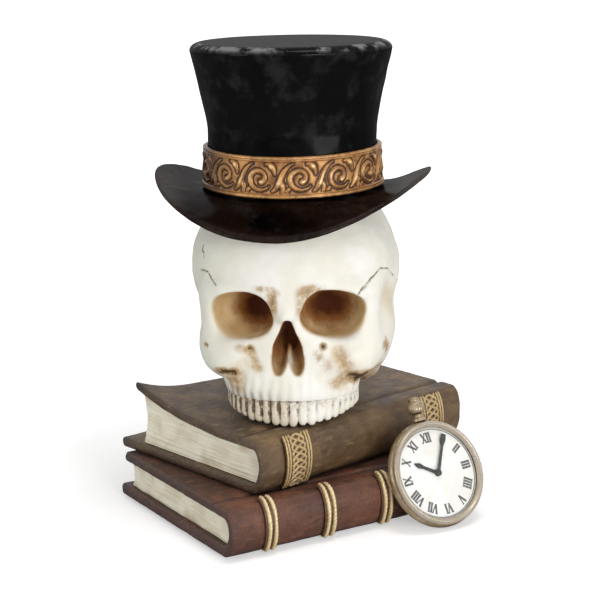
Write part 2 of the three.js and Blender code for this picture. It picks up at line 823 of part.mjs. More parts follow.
// The watch's back lies on the raised cords of the lower book's spine, and its foot just clears the table.
function watchPlace() {
  const lean = radians(watchLean);
  const cordProud = seatGap + cordStrapThickness + cordRadius;
  const middle = lowerBookHeight / 2;
  const reach = lowerBookSpineBulge + cordProud;
  const rise = middle + cordProud;
  const steepest = Math.atan((Math.tan(lean) * rise) / reach);
  const touchHeight = lowerBookFoot + middle + rise * Math.sin(steepest);
  const touchDepth = reach * Math.cos(steepest) + seatGap / Math.cos(lean);
  const backHeight = caseBackRadius * Math.cos(lean) + watchFootClearance;
  const backDepth = touchDepth - (backHeight - touchHeight) * Math.tan(lean);
  const place = translation(watchAlongSpine, -lowerBookDepth / 2 - backDepth, backHeight);
  return place.multiply(new THREE.Matrix4().makeRotationX(Math.PI / 2 - lean));
}

// Pins that hold the pieces together
const dowelPlaces = [-1, 1].map((side) => new THREE.Vector2(headX + (side * dowelSpacing) / 2, headY + dowelBack));

function bookDowel(place, grow) {
  const foot = lowerBookTop - lowerBookTopBoard + restGap - grow;
  const top = upperBookFoot + upperBookLowerBoard - restGap + grow;
  return uprightPin(dowelRadius + grow, foot, top, place.x, place.y);
}

function skullDowel(place, grow) {
  const foot = upperBookTop - upperBookTopBoard + restGap - grow;
  return uprightPin(dowelRadius + grow, foot, upperBookTop + dowelDepthInSkull + grow, place.x, place.y);
}

function watchPin(grow) {
  return uprightPin(watchPinRadius + grow, -watchPinInBook - grow, watchPinInCase + grow, 0, 0);
}

function moved(geometry, matrix) {
  return geometry.applyMatrix4(matrix);
}

// Assembly

const figurine = new THREE.Group();

function addLowerBook() {
  const group = new THREE.Group();
  group.applyMatrix4(lowerBook.place);
  const back = lowerBook.place.clone().invert();
  const dowelHoles = dowelPlaces.map((place) => solidOf(moved(bookDowel(place, seatGap), back)));
  const pinHole = solidOf(moved(watchPin(seatGap), watchPlace()));
  const cover = solidOf(sweptAlongBook(coverOutline(lowerBook, 1), lowerBook.length));
  const pagesLength = lowerBook.length - 2 * headRecess;
  const pages = solidOf(sweptAlongBook(pagesOutline(lowerBook, 1, 0), pagesLength));
  const lifted = (solid) => solid.translate([0, 0, lowerBook.foot]);
  const coverCut = cutBy(lifted(cover), [...dowelHoles, pinHole]);
  group.add(named('lower_book_cover', geometryOf(coverCut), 'leatherRed'));
  group.add(named('lower_book_pages', geometryOf(cutBy(lifted(pages), [pinHole])), 'paper'));
  const run = lowerBook.length - 2 * cordPairFromEnd;
  for (let i = 0; i < cordPairCount; i += 1) {
    const centre = -run / 2 + (run * i) / (cordPairCount - 1);
    const places = [-cordSpacing / 2, cordSpacing / 2];
    const strap = spineStrap(lowerBook, centre, cordStrap, places);
    group.add(named(`lower_book_cord_${i + 1}`, geometryOf(strap), 'gilt'));
  }
  const feltLength = lowerBook.length - 2 * feltInset;
  const felt = new THREE.BoxGeometry(feltLength, lowerBook.depth - 2 * feltInset, feltThickness);
  group.add(named('base_felt', felt.translate(0, 0, feltThickness / 2), 'felt'));
  figurine.add(group);
}

function addUpperBook() {
  const group = new THREE.Group();
  group.applyMatrix4(upperBook.place);
  const back = upperBook.place.clone().invert();
  const holes = dowelPlaces.flatMap((place) => [
    solidOf(moved(bookDowel(place, seatGap), back)),
    solidOf(moved(skullDowel(place, seatGap), back)),
  ]);
  const warped = (outline, length) => {
    const swept = crowdedToHead(sweptAlongBook(outline, length, warpSteps), length);
    return solidOf(liftCorner(swept, upperBook)).translate([0, 0, upperBook.foot]);
  };
  const cover = warped(coverOutline(upperBook, warpSteps), upperBook.length);
  const pagesLength = upperBook.length - 2 * headRecess;
  const tallPages = warped(pagesOutline(upperBook, warpSteps, upperBookTopBoard / 2), pagesLength);
  const pages = tallPages.subtract(cover.translate([0, 0, -restGap]));
  group.add(named('upper_book_cover', geometryOf(cutBy(cover, holes)), 'leatherDark'));
  group.add(named('upper_book_pages', geometryOf(pages), 'paper'));
  const edge = ornamentWidth / 2 - ornamentCordRadius;
  const places = [-edge, edge];
  for (const [name, side] of [['upper_book_ornament_left', -1], ['upper_book_ornament_right', 1]]) {
    const centre = side * (upperBook.length / 2 - ornamentFromEnd);
    const strap = spineStrap(upperBook, centre, ornamentStrap, places);
    group.add(named(name, geometryOf(strap), 'gilt'));
  }
  figurine.add(group);
}

function addHead() {
  const group = new THREE.Group();
  group.position.set(headX, headY, upperBookTop);
  const back = translation(-headX, -headY, -upperBookTop);
  const dowelHoles = dowelPlaces.map((place) => solidOf(moved(skullDowel(place, seatGap), back)));
  const teethRoomTop = toothHeight + seatGap;
  const teethRoom = archBar(-seatGap, gumBarWidth + seatGap, -skullHeight, teethRoomTop, 2 * seatGap);
  const carved = cutBy(skullBody(0, skullColumns, skullRows), [...eyeSockets(), noseOpening(), teethRoom]);
  const below = new THREE.BoxGeometry(2 * skullWidth, 2 * skullLength, skullHeight);
  const table = solidOf(below.translate(0, 0, restGap - skullHeight / 2));
  group.add(named('skull', geometryOf(cutBy(rolled(carved), [table, ...dowelHoles])), 'bone'));
  group.add(named('upper_teeth', geometryOf(cutBy(rolled(teethSolid()), [table])), 'enamelWhite'));

  const hatTurn = new THREE.Matrix4().makeRotationX(radians(hatTilt));
  const hatMatrix = translation(0, 0, skullHeight - hatSink).multiply(hatTurn);
  const hat = hatSolid().transform(hatMatrix.toArray());
  const headRoom = skullBody(hatSeatGap, headRoomColumns, headRoomRows);
  const seated = rolled(hat.subtract(headRoom));
  group.add(named('top_hat', geometryOf(seated), 'hatBlack'));
  const band = solidOf(bandGeometry()).transform(hatMatrix.toArray());
  group.add(named('hat_band', geometryOf(rolled(band)), 'antiqueGold'));
  figurine.add(group);
}

function addWatch() {
  const book = new THREE.Group();
  book.applyMatrix4(lowerBook.place);
  const watch = new THREE.Group();
  watch.applyMatrix4(watchPlace());
  const pinHole = solidOf(watchPin(seatGap));
  const body = cutBy(solidOf(lathedAbout(caseProfile(0), 40)), [pinHole]);
  watch.add(named('watch_case', geometryOf(body), 'champagne'));
  watch.add(named('watch_bezel', bezelGeometry(), 'champagne'));
  const dialFoot = caseSeatHeight + restGap;
  const dialTop = dialFoot + dialThickness;
  const dial = new THREE.CylinderGeometry(caseSeatRadius - seatGap, caseSeatRadius - seatGap, dialThickness, 40);
  dial.rotateX(Math.PI / 2).translate(0, 0, (dialFoot + dialTop) / 2);
  watch.add(named('watch_dial', dial, 'dialWhite'));
  const hourFoot = dialTop + seatGap;
  const minuteFoot = hourFoot + handThickness + seatGap;
  const minuteTurn = radians(5 * 6 - dialTurn);
  const hourTurn = radians(10 * 30 + 5 / 2 - dialTurn);
  const hourHand = handGeometry(hourHandLength, hourHandWidth, hourFoot, hourTurn);
  const minuteHand = handGeometry(minuteHandLength, minuteHandWidth, minuteFoot, minuteTurn);
  watch.add(named('watch_hour_hand', hourHand, 'handGrey'));
  watch.add(named('watch_minute_hand', minuteHand, 'handGrey'));
  const postTop = minuteFoot + handThickness + seatGap;
  const post = uprightPin(handPostRadius, dialTop + restGap, postTop, 0, 0);
  watch.add(named('watch_hand_post', post, 'handGrey'));
  watch.add(named('watch_pendant', pendantGeometry(), 'champagne'));
  watch.add(named('watch_crown', crownKnobGeometry(), 'champagne'));
  watch.add(named('watch_pin', watchPin(0), 'steel'));
  book.add(watch);
  figurine.add(book);
}

function addDowels() {
  dowelPlaces.forEach((place, i) => {
    figurine.add(named(`book_dowel_${i + 1}`, bookDowel(place, 0), 'steel'));
    figurine.add(named(`skull_dowel_${i + 1}`, skullDowel(place, 0), 'steel'));
  });
}

addLowerBook();
addUpperBook();
addHead();
addWatch();
addDowels();

export default figurine;
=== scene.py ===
import math
from itertools import product
from types import SimpleNamespace

import bmesh
import bpy
import numpy as np
from mathutils import Matrix, Vector


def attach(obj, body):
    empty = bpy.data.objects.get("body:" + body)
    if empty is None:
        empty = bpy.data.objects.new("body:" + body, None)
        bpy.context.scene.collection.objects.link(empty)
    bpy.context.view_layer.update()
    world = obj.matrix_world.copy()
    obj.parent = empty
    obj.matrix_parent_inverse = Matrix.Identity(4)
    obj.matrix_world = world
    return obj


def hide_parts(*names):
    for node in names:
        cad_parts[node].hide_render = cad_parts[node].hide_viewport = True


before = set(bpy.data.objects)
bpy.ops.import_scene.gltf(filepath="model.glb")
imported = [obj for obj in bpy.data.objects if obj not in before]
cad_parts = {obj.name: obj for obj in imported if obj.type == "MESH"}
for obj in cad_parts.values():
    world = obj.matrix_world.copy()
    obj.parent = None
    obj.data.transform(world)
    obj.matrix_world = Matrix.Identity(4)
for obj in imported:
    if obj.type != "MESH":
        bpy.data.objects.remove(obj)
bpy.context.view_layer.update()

# Lengths in this script are millimetres. Meshes and places are turned into metres as they are made.
mm = 0.001

# Books, from the foot of the spine to the fore edge of the lower board
lower = SimpleNamespace(
    length=125, depth=90.5, height=20.9, foot=1.1, bulge=6, lower_board=5.2, top_board=4.4,
    top_setback=4, pages_setback=6.5,
)
upper = SimpleNamespace(
    length=122.6, depth=87.5, height=22.8, foot=22.1, bulge=5.4, lower_board=4.4, top_board=3.8,
    top_setback=10.5, pages_setback=13.5,
)
lower_yaw = 37.2
upper_turn = 10.7
upper_along_spine = 16.2
upper_behind_spine = 18.86
spine_wall = 2.4
head_recess = 2.6
fore_edge_hollow = 2.2
leaf_thickness = 0.24
board_round = 1.5
board_inset = 0.75
board_end_round = 0.9
cover_step = 1.1
outline_step = 0.85
joint_from_spine = 8.5
joint_width = 4.4
joint_depth = 1
seat_gap = 0.3
rest_gap = 0.1

# The upper book's top board is warped up at one corner, with the pages under it, and the tip curls further.
warp_height = 4.4
warp_along_head = 56
warp_along_fore_edge = 82
curl_height = 5.6
curl_along_head = 40
curl_along_fore_edge = 30

# Raised cords on the lower spine and ornamental bands on the upper one
cord_pairs = 4
cord_pair_from_end = 19.6
cord_spacing = 2.9
cord_radius = 0.95
rope_turn = 1.7
cord_strap = SimpleNamespace(
    width=6.4, thickness=0.6, top_turn=90, reach_over_top=0.6, foot=1.2, step=0.3,
)
ornament_from_end = 20.6
ornament_strap = SimpleNamespace(
    width=14.4, thickness=0.7, top_turn=62, reach_over_top=0, foot=1.2, step=0.22,
)
border_cord_inset = 0.65
border_cord_spacing = 1.45
border_cord_radius = 0.62
plait_repeat = 11.2
plait_inset = 3
plait_strand_radius = 0.66

# Head
head_x = 1.2
head_y = 5.2
head_roll = 1.05
skull_width = 90
skull_length = 108
skull_height = 105
face_plane = -40
socket_depth = 17
arch_width = 56
arch_depth = 25
arch_centre_back = 18
arch_mean_radius = (arch_width / 2 + arch_depth) / 2
tooth_count = 22
tooth_height = 11.2
tooth_thickness = 4.4
tooth_rise = 4.5
gum_depth = 5
gum_height = 5

# Top hat
hat_sink = 9.6
hat_tilt = -0.7
crown_height = 61.4
crown_base_radius = 36.9
crown_waist_radius = 35.9
crown_top_radius = 42.8
crown_waist_height = 25
crown_edge_round = 3.2
crown_edge_reach = 4.6
brim_reach = 21.5
brim_thickness = 2.4
brim_side_rise = 7.9
brim_front_drop = 12.2
brim_turn = 6
brim_edge_inset = 0.6
brim_limit = 0.8
hat_seat_gap = 0.7
band_height = 17
band_foot = 1.2
band_thickness = 1.5
band_rim_height = 1.7
band_rim_proud = 0.8
band_dip = 1
scroll_count = 14
scroll_start = 9.5

# Pocket watch, leaning on the lower book's cords
watch_along_spine = 36.4
watch_lean = 28
watch_foot_clearance = 0.4
case_back_radius = 21.4
case_radius = 23.1
case_height = 6
case_seat_height = 4.4
case_seat_radius = 20.4
case_lip_radius = 22.2
case_back_round = 1.6
case_hub_radius = 2
case_round = 0.9
bezel_outer_radius = 22.4
bezel_inner_radius = 19.5
bezel_height = 2.2
bezel_round = 0.7
dial_thickness = 1.1
dial_edge_round = 0.3
dial_turn = 3.5
numeral_radius = 15.6
numeral_height = 4
print_height = 0.09
print_sink = 0.1
shadow_ring_height = 0.06
shadow_ring_inset = 0.35
shadow_ring_width = 0.3
hour_hand = SimpleNamespace(
    name="watch_hour_hand", length=11.8, width=1.5, tip_width=2.3, end_share=0.1, degrees=10 * 30 + 2.5,
)
minute_hand = SimpleNamespace(
    name="watch_minute_hand", length=17.4, width=1.3, tip_width=2.6, end_share=0.4, degrees=30,
)
hand_thickness = 0.45
hand_edge_round = 0.14
hand_hub_radius = 1.5
post_radius = 0.7
pendant_length = 3.4
pendant_radius = 2.2
pendant_collar_radius = 3
pendant_round = 0.5
knob_radius = 3.9
knob_length = 5.4
knob_cap_radius = 2.4
knob_cap_length = 1.8
knob_round = 0.6
knob_rib_count = 26
knob_rib_depth = 0.13


# Places
def shift(x, y, z):
    return Matrix.Translation((x, y, z))


def turn(degrees, axis):
    return Matrix.Rotation(math.radians(degrees), 4, axis)


lower.place = turn(lower_yaw, "Z") @ shift(0, 0, lower.foot)
upper.place = (
    turn(lower_yaw, "Z")
    @ shift(upper_along_spine, upper_behind_spine - lower.depth / 2, 0)
    @ turn(upper_turn, "Z")
    @ shift(0, upper.depth / 2, upper.foot)
)
head_place = shift(head_x, head_y, upper.foot + upper.height) @ turn(-head_roll, "Y")
hat_on_head = shift(0, 0, skull_height - hat_sink) @ turn(hat_tilt, "X")
hat_place = head_place @ hat_on_head


def watch_place():
    lean = math.radians(watch_lean)
    cord_proud = seat_gap + cord_strap.thickness + cord_radius
    middle = lower.height / 2
    reach = lower.bulge + cord_proud
    rise = middle + cord_proud
    steepest = math.atan(math.tan(lean) * rise / reach)
    touch_height = lower.foot + middle + rise * math.sin(steepest)
    touch_depth = reach * math.cos(steepest) + seat_gap / math.cos(lean)
    back_height = case_back_radius * math.cos(lean) + watch_foot_clearance
    back_depth = touch_depth - (back_height - touch_height) * math.tan(lean)
    return (
        turn(lower_yaw, "Z")
        @ shift(watch_along_spine, -lower.depth / 2 - back_depth, back_height)
        @ turn(90 - watch_lean, "X")
    )


# Smooth noise from -1 to 1, whose lumps are about one size across
lattice_side = 24
lattice = np.random.default_rng(11).random((lattice_side,) * 3) * 2 - 1


def noise(points, size):
    scaled = np.asarray(points) / size
    cell = np.floor(scaled).astype(int)
    part = scaled - cell
    part = part * part * (3 - 2 * part)
    total = np.zeros(scaled.shape[:-1])
    for corner in product((0, 1), repeat=3):
        weight = np.prod(np.where(np.array(corner, bool), part, 1 - part), axis=-1)
        place = (cell + corner) % lattice_side
        total += weight * lattice[place[..., 0], place[..., 1], place[..., 2]]
    return total


def ramp(values, low, high):
    share = np.clip((values - low) / (high - low), 0, 1)
    return share * share * (3 - 2 * share)


def bell(distance, width):
    return np.exp(-((distance / width) ** 2))


def xyz(points):
    return np.moveaxis(points, -1, 0)


def away_from(points, at):
    return np.linalg.norm(points - np.array(at), axis=-1)


# Meshes
materials = {}


# An object that shows the data, at the origin of the scene until it is moved
def placed(name, data):
    thing = bpy.data.objects.new(name, data)
    bpy.context.scene.collection.objects.link(thing)
    return thing


# A piece keeps its own coordinates as the mark "local", which its material reads.
def add_piece(name, points, faces, place, look, marks=None, crease=38, replaces=True):
    mesh = bpy.data.meshes.new(name)
    local = np.asarray(points, float).reshape(-1, 3)
    matrix = np.array(place)
    mesh.from_pydata(((local @ matrix[:3, :3].T + matrix[:3, 3]) * mm).tolist(), [], faces)
    attribute = mesh.attributes.new("local", "FLOAT_VECTOR", "POINT")
    attribute.data.foreach_set("vector", (local * mm).astype(np.float32).ravel())
    for mark, values in (marks or {}).items():
        attribute = mesh.attributes.new(mark, "FLOAT", "POINT")
        attribute.data.foreach_set("value", np.asarray(values, np.float32).ravel())
    body = bmesh.new()
    body.from_mesh(mesh)
    bmesh.ops.recalc_face_normals(body, faces=body.faces)
    body.to_mesh(mesh)
    body.free()
    mesh.shade_smooth()
    mesh.set_sharp_from_angle(angle=math.radians(crease))
    material, slot = materials[look]
    mesh.materials.append(material)
    piece = placed(name, mesh)
    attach(piece, "root")
    if replaces:
        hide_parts(name)


def quads(index):
    corners = [index[:-1, :-1], index[:-1, 1:], index[1:, 1:], index[1:, :-1]]
    return np.stack(corners, -1).reshape(-1, 4).tolist()


# Faces of a body through a row of closed loops. The ends are capped, or the last loop meets the first.
def loop_faces(rows, columns, ring=False):
    index = np.arange(rows * columns).reshape(rows, columns)
    around = np.hstack([index, index[:, :1]])
    if ring:
        return quads(np.vstack([around, around[:1]]))
    return quads(around) + [index[0].tolist(), index[-1].tolist()]


def skinned(loops, ring=False):
    return loops, loop_faces(*loops.shape[:2], ring)


def at_height(places, height):
    return np.column_stack([places, np.full(len(places), height)])


def lathe(profile, columns, ring=False):
    profile = np.asarray(profile, float)
    angles = np.linspace(0, 2 * math.pi, columns, endpoint=False)
    radius, height = profile[:, :1], profile[:, 1:]
    loops = np.stack([radius * np.cos(angles), radius * np.sin(angles), height + 0 * angles], -1)
    return skinned(loops, ring)


# The way from a line's start to each of its points
def travelled(line):
    return np.concatenate([[0], np.cumsum(np.linalg.norm(np.diff(line, axis=0), axis=1))])


def evenly(line, count, endpoint=True):
    run = travelled(line)
    places = np.linspace(0, run[-1], count, endpoint=endpoint)
    return np.stack([np.interp(places, run, axis) for axis in line.T], -1)


def arc(centre, halves, start, end, steps=24):
    turns = np.radians(np.linspace(start, end, steps + 1))
    return np.stack([centre[0] + halves[0] * np.cos(turns), centre[1] + halves[1] * np.sin(turns)], -1)


# Each corner of an outline is cut back and rounded with a curve.
def rounded(outline, radius, steps=4, closed=True):
    outline = np.asarray(outline, float)
    result = []
    for i, corner in enumerate(outline):
        if not closed and i in (0, len(outline) - 1):
            result.append(corner)
            continue
        before = outline[i - 1] - corner
        after = outline[(i + 1) % len(outline)] - corner
        start = corner + before * min(0.45, radius / np.linalg.norm(before))
        end = corner + after * min(0.45, radius / np.linalg.norm(after))
        for share in np.linspace(0, 1, steps + 1):
            result.append((1 - share) ** 2 * start + 2 * share * (1 - share) * corner + share**2 * end)
    return np.array(result)


def outward(outline):
    along = np.roll(outline, -1, axis=0) - np.roll(outline, 1, axis=0)
    sideways = np.stack([along[:, 1], -along[:, 0]], -1)
    sideways /= np.linalg.norm(sideways, axis=1, keepdims=True)
    x, y = outline.T
    area = np.sum(x * np.roll(y, -1) - np.roll(x, -1) * y)
    return sideways if area > 0 else -sideways


# Books. An outline is drawn as depth and height, and is swept along the book from head to tail.
def cover_outline(book):
    spine, fore_edge, middle = -book.depth / 2, book.depth / 2, book.height / 2
    inner_top = book.height - book.top_board
    inner_middle = (inner_top + book.lower_board) / 2
    inner_half = (inner_top - book.lower_board) / 2
    top_round = (0.42 * book.top_board, book.top_board / 2)
    top_edge = fore_edge - book.top_setback - top_round[0]
    lower_round = (board_round, book.lower_board / 2)
    groove_shares = np.linspace(-1, 1, 13)
    groove_places = spine + joint_from_spine + groove_shares * joint_width / 2
    groove_heights = book.height - joint_depth * np.cos(groove_shares * math.pi / 2) ** 2
    outline = np.vstack([
        [[fore_edge - board_round, 0]],
        arc((spine, middle), (book.bulge, middle), 270, 90),
        np.column_stack([groove_places, groove_heights]),
        [[top_edge, book.height]],
        arc((top_edge, book.height - book.top_board / 2), top_round, 90, -90, 8),
        arc((spine, inner_middle), (book.bulge - spine_wall, inner_half), 90, 270),
        arc((fore_edge - board_round, book.lower_board / 2), lower_round, 90, -90, 8),
        [[fore_edge - board_round, 0]],
    ])
    return evenly(outline, round(travelled(outline)[-1] / outline_step), endpoint=False)


def corner_lift(points, book):
    along = points[..., 0] + book.length / 2
    across = book.depth / 2 - book.top_setback - points[..., 1]
    warp = np.maximum(0, 1 - along / warp_along_fore_edge - across / warp_along_head)
    curl = np.maximum(0, 1 - along / curl_along_fore_edge - across / curl_along_head)
    return warp_height * warp + curl_height * np.minimum(curl, 1.1) ** 2


def add_cover(name, book, look, corner=False):
    outline = cover_outline(book)
    depths, heights = outline.T
    away = outward(outline)
    places = np.linspace(-book.length / 2, book.length / 2, round(book.length / cover_step))
    end_steps = np.array([0.25, 0.7])
    places = np.sort(np.concatenate([places, places[0] + end_steps, places[-1] - end_steps]))
    from_end = book.length / 2 - np.abs(places)
    inset = board_inset * (1 - np.clip(from_end / board_end_round, 0, 1)) ** 2
    flat = outline - inset[:, None, None] * away
    loops = np.concatenate([np.broadcast_to(places[:, None, None], (*flat.shape[:2], 1)), flat], -1)
    wear = 0.34 * noise(loops, 7.5) + 0.16 * noise(loops + 40, 2.3) - 0.12
    end_wear = np.abs(0.6 * noise(loops * (0, 1, 1) + 90, 4) * bell(from_end, 1.2)[:, None])
    loops[..., 1:] += away * (wear * (1 - 0.75 * np.abs(away[:, 1])))[..., None]
    loops[..., 0] -= end_wear * np.sign(places)[:, None]
    if corner:
        on_board = heights > book.height - book.top_board - rest_gap
        loops[..., 2] += on_board * corner_lift(loops, book)
    everywhere = np.zeros(loops.shape[:2])
    setback = np.where(heights > book.height / 2, book.top_setback, 0)
    fore_edges = bell(depths - book.depth / 2, 2.5) + bell(depths - book.depth / 2 + book.top_setback, 2.5)
    groove = bell(depths + book.depth / 2 - joint_from_spine, 1.3) * (heights > book.height - 2)
    marks = {
        "edge": np.clip(bell(from_end, 2.2)[:, None] + fore_edges, 0, 1),
        "groove": groove + everywhere,
        "spine": ramp(-depths, book.depth / 2 - 2, book.depth / 2 + 2) + everywhere,
        "tip": bell(np.hypot(places[:, None] + book.length / 2, depths - book.depth / 2 + setback), 7),
    }
    add_piece(name, *skinned(loops), book.place, look, marks)


# A page block is a stack of outlines seen from above. Each leaf's edge lies a little in or out.
def add_pages(name, book, draws, corner=False):
    foot = book.lower_board + rest_gap
    top = book.height - book.top_board - rest_gap
    rows = round((top - foot) / leaf_thickness)
    heights = np.linspace(foot, top, rows)
    across = (heights - (foot + top) / 2) / ((top - foot) / 2)
    spine_reach = (book.bulge - spine_wall - seat_gap) * np.sqrt(np.clip(1 - across**2, 0, 1))
    fore_edge = book.depth / 2 - book.pages_setback - fore_edge_hollow * (1 - across**2)
    half = book.length / 2 - head_recess
    loops = []
    for height, back, front in zip(heights, -book.depth / 2 - spine_reach, fore_edge):
        corners = [(-half, back), (half, back), (half, front), (-half, front)]
        sides = [np.linspace(corners[i - 1], corners[i], 50, endpoint=False) for i in (1, 2, 3, 0)]
        loops.append(at_height(np.vstack(sides), height))
    loops = np.array(loops)
    away = outward(loops[0, :, :2])
    leaf = draws.normal(0, 1, rows)
    leaf = 0.1 * leaf + 0.08 * np.roll(leaf, 1)
    ragged = leaf[:, None] * (0.75 + 0.5 * noise(loops * (1, 1, 4), 16)) + 0.22 * noise(loops, 6)
    loops[..., :2] += away * np.clip(ragged, -0.5, 0.35)[..., None]
    share_up = ((heights - foot) / (top - foot))[:, None]
    loops[..., 2] += 0.35 * noise(loops * (1, 1, 0) + 7, 13) * share_up * (1 - share_up) * 4
    if corner:
        loops[..., 2] += share_up * corner_lift(loops, book)
    marks = {"leaf": np.clip(0.5 + 1.6 * ragged, 0, 1)}
    add_piece(name, *skinned(loops), book.place, "pages", marks, crease=60)


# A strap bent over a spine. Relief gives the height of its outer face from the place across and along it.
def add_strap(name, book, centre, strap, relief):
    middle = book.height / 2
    lowest = math.degrees(math.asin((strap.foot - middle) / (middle + seat_gap)))

    def path(offset):
        halves = (-book.bulge - offset, middle + offset)
        bend = arc((-book.depth / 2, middle), halves, strap.top_turn, lowest, 60)
        if strap.reach_over_top:
            bend = np.vstack([bend[:1] + (strap.reach_over_top, 0), bend])
        return bend

    rows = round(travelled(path(seat_gap + strap.thickness))[-1] / strap.step)
    columns = round(strap.width / strap.step)
    outer = evenly(path(seat_gap + strap.thickness), rows)
    inner = evenly(path(seat_gap), rows)
    tangent = np.gradient(outer, axis=0)
    away = np.stack([tangent[:, 1], -tangent[:, 0]], -1)
    away /= np.linalg.norm(away, axis=1, keepdims=True)
    across = np.linspace(-strap.width / 2, strap.width / 2, columns)
    height = relief(across[None, :], travelled(outer)[:, None])
    face = outer[:, None, :] + away[:, None, :] * height[..., None]
    face = np.concatenate([np.broadcast_to((across + centre)[None, :, None], (rows, columns, 1)), face], -1)
    edges = (centre + strap.width / 2, centre - strap.width / 2)
    underside = np.stack([np.column_stack([np.full(rows, edge), inner]) for edge in edges], 1)
    marks = {"raised": np.concatenate([height, np.zeros((rows, 2))], 1)}
    add_piece(name, *skinned(np.concatenate([face, underside], 1)), book.place, "gilt", marks, crease=55)


def ridge(distance, radius):
    return np.sqrt(np.maximum(0, radius**2 - distance**2))


def cord_relief(across, along):
    twist = 0.1 * np.sin(2 * math.pi * (along / rope_turn + across / 2.4))
    wander = 0.12 * np.sin(along / 2.3 + across)
    cords = [ridge(across - side * cord_spacing / 2 + wander, cord_radius) for side in (-1, 1)]
    return np.maximum(*cords) * (1 + twist)


# A plait of four strands between two pairs of thin cords
def ornament_relief(across, along):
    outer = ornament_strap.width / 2 - border_cord_inset
    height = np.zeros(np.broadcast_shapes(across.shape, along.shape))
    for place, side in product((outer, outer - border_cord_spacing), (-1, 1)):
        twist = 1 + 0.1 * np.sin(2 * math.pi * (along / rope_turn + side * across))
        height = np.maximum(height, ridge(across - side * place, border_cord_radius) * twist)
    swing = outer - plait_inset
    for strand in range(4):
        wave = 2 * math.pi * (along / plait_repeat + strand / 4)
        slope = np.hypot(1, swing * 2 * math.pi / plait_repeat * np.cos(wave))
        over = 0.86 + 0.14 * np.sign(np.sin(4 * math.pi * along / plait_repeat + strand * math.pi))
        from_strand = (across - swing * np.sin(wave)) / slope
        height = np.maximum(height, over * ridge(from_strand, plait_strand_radius))
    return height


# Distances for carved forms. A distance is negative inside.
def ball_distance(points, at, size):
    near = (points - at) / size
    reach = np.linalg.norm(near, axis=-1) + 1e-9
    return reach * (reach - 1) / (np.linalg.norm(near / size, axis=-1) + 1e-9)


def bar_distance(points, start, end, radii):
    near, run = points - np.array(start), np.subtract(end, start)
    share = np.clip(near @ run / (run @ run), 0, 1)
    return np.linalg.norm(near - share[..., None] * run, axis=-1) - (radii[0] + (radii[1] - radii[0]) * share)


def joined(first, second, blend):
    mix = np.clip(0.5 + 0.5 * (second - first) / blend, 0, 1)
    return second + (first - second) * mix - blend * mix * (1 - mix)


def carved(body, hollow, blend):
    return -joined(-body, hollow, blend)


# Skull. Places are shares of half the width, half the length and the height. Radii and blends are shares
# of half the width. A form without sides lies on the middle plane, or on the side that its place says.
both = (-1, 1)
skull_form_shares = [
    dict(at=(0, 0.074, 0.571), size=(1, 0.926, 0.4), blend=0.222),
    dict(at=(0, 0.444, 0.476), size=(0.911, 0.611, 0.305), blend=0.222),
    dict(at=(0, -0.389, 0.648), size=(0.867, 0.444, 0.238), blend=0.222),
    dict(at=(0.111, -0.778, 0.538), to=(0.578, -0.704, 0.548), radii=(0.08, 0.076), blend=0.178, sides=both),
    dict(at=(0.689, -0.574, 0.524), to=(0.689, -0.519, 0.362), radii=(0.122, 0.144), blend=0.178, sides=both),
    dict(at=(0.533, -0.546, 0.271), size=(0.289, 0.231, 0.095), blend=0.178, sides=both),
    dict(at=(0.667, -0.389, 0.295), to=(0.744, 0.037, 0.343), radii=(0.151, 0.133), blend=0.178, sides=both),
    dict(at=(0, -0.481, 0.314), size=(0.556, 0.306, 0.181), blend=0.178),
    dict(at=(0, -0.389, 0.143), size=(0.633, 0.417, 0.143), blend=0.156),
    dict(at=(-0.556, 0.259, 0.162), size=(0.144, 0.185, 0.124), blend=0.178),
    dict(at=(0.633, 0.185, 0.186), size=(0.2, 0.222, 0.124), blend=0.178),
    dict(at=(0.744, -0.111, 0.305), size=(0.189, 0.278, 0.143), blend=0.222),
    dict(at=(0, 0.481, 0.219), size=(0.689, 0.519, 0.248), blend=0.178),
    dict(at=(0, -0.787, 0.543), to=(0, -0.852, 0.462), radii=(0.071, 0.058), blend=0.111),
]
half_sizes = np.array([skull_width / 2, skull_length / 2, skull_height])


def skull_body(points):
    distance = np.full(points.shape[:-1], float(skull_length))
    for form in skull_form_shares:
        for side in form.get("sides", (1,)):
            mirrored = half_sizes * (side, 1, 1)
            at = form["at"] * mirrored
            if "to" in form:
                radii = np.array(form["radii"]) * half_sizes[0]
                next_distance = bar_distance(points, at, form["to"] * mirrored, radii)
            else:
                next_distance = ball_distance(points, at, form["size"] * half_sizes)
            distance = joined(distance, next_distance, form["blend"] * half_sizes[0])
    return distance


# Eye sockets: middle, width, height, droop, and the darkest place as shares of half the width towards the
# ear and half the height upwards
socket_squareness = 2.6
sockets = [
    dict(at=(-18.8, face_plane, 48), width=25.6, height=20.8, droop=-8, dark_at=(-0.48, -0.02)),
    dict(at=(18.9, face_plane, 48.8), width=26.4, height=21.2, droop=13, dark_at=(-0.26, 0)),
]


def turned_about_y(points, at, degrees):
    x, y, z = xyz(points - np.array(at))
    along, up = np.cos(np.radians(degrees)), np.sin(np.radians(degrees))
    return np.stack([x * along - z * up, y, x * up + z * along], -1)


def socket_distance(points, socket):
    halves = np.array([socket["width"] / 2, socket_depth, socket["height"] / 2])
    x, y, z = xyz(np.abs(turned_about_y(points, socket["at"], socket["droop"])) / halves)
    around = x**socket_squareness + z**socket_squareness
    return (np.sqrt(around ** (2 / socket_squareness) + y**2) - 1) * halves.min()


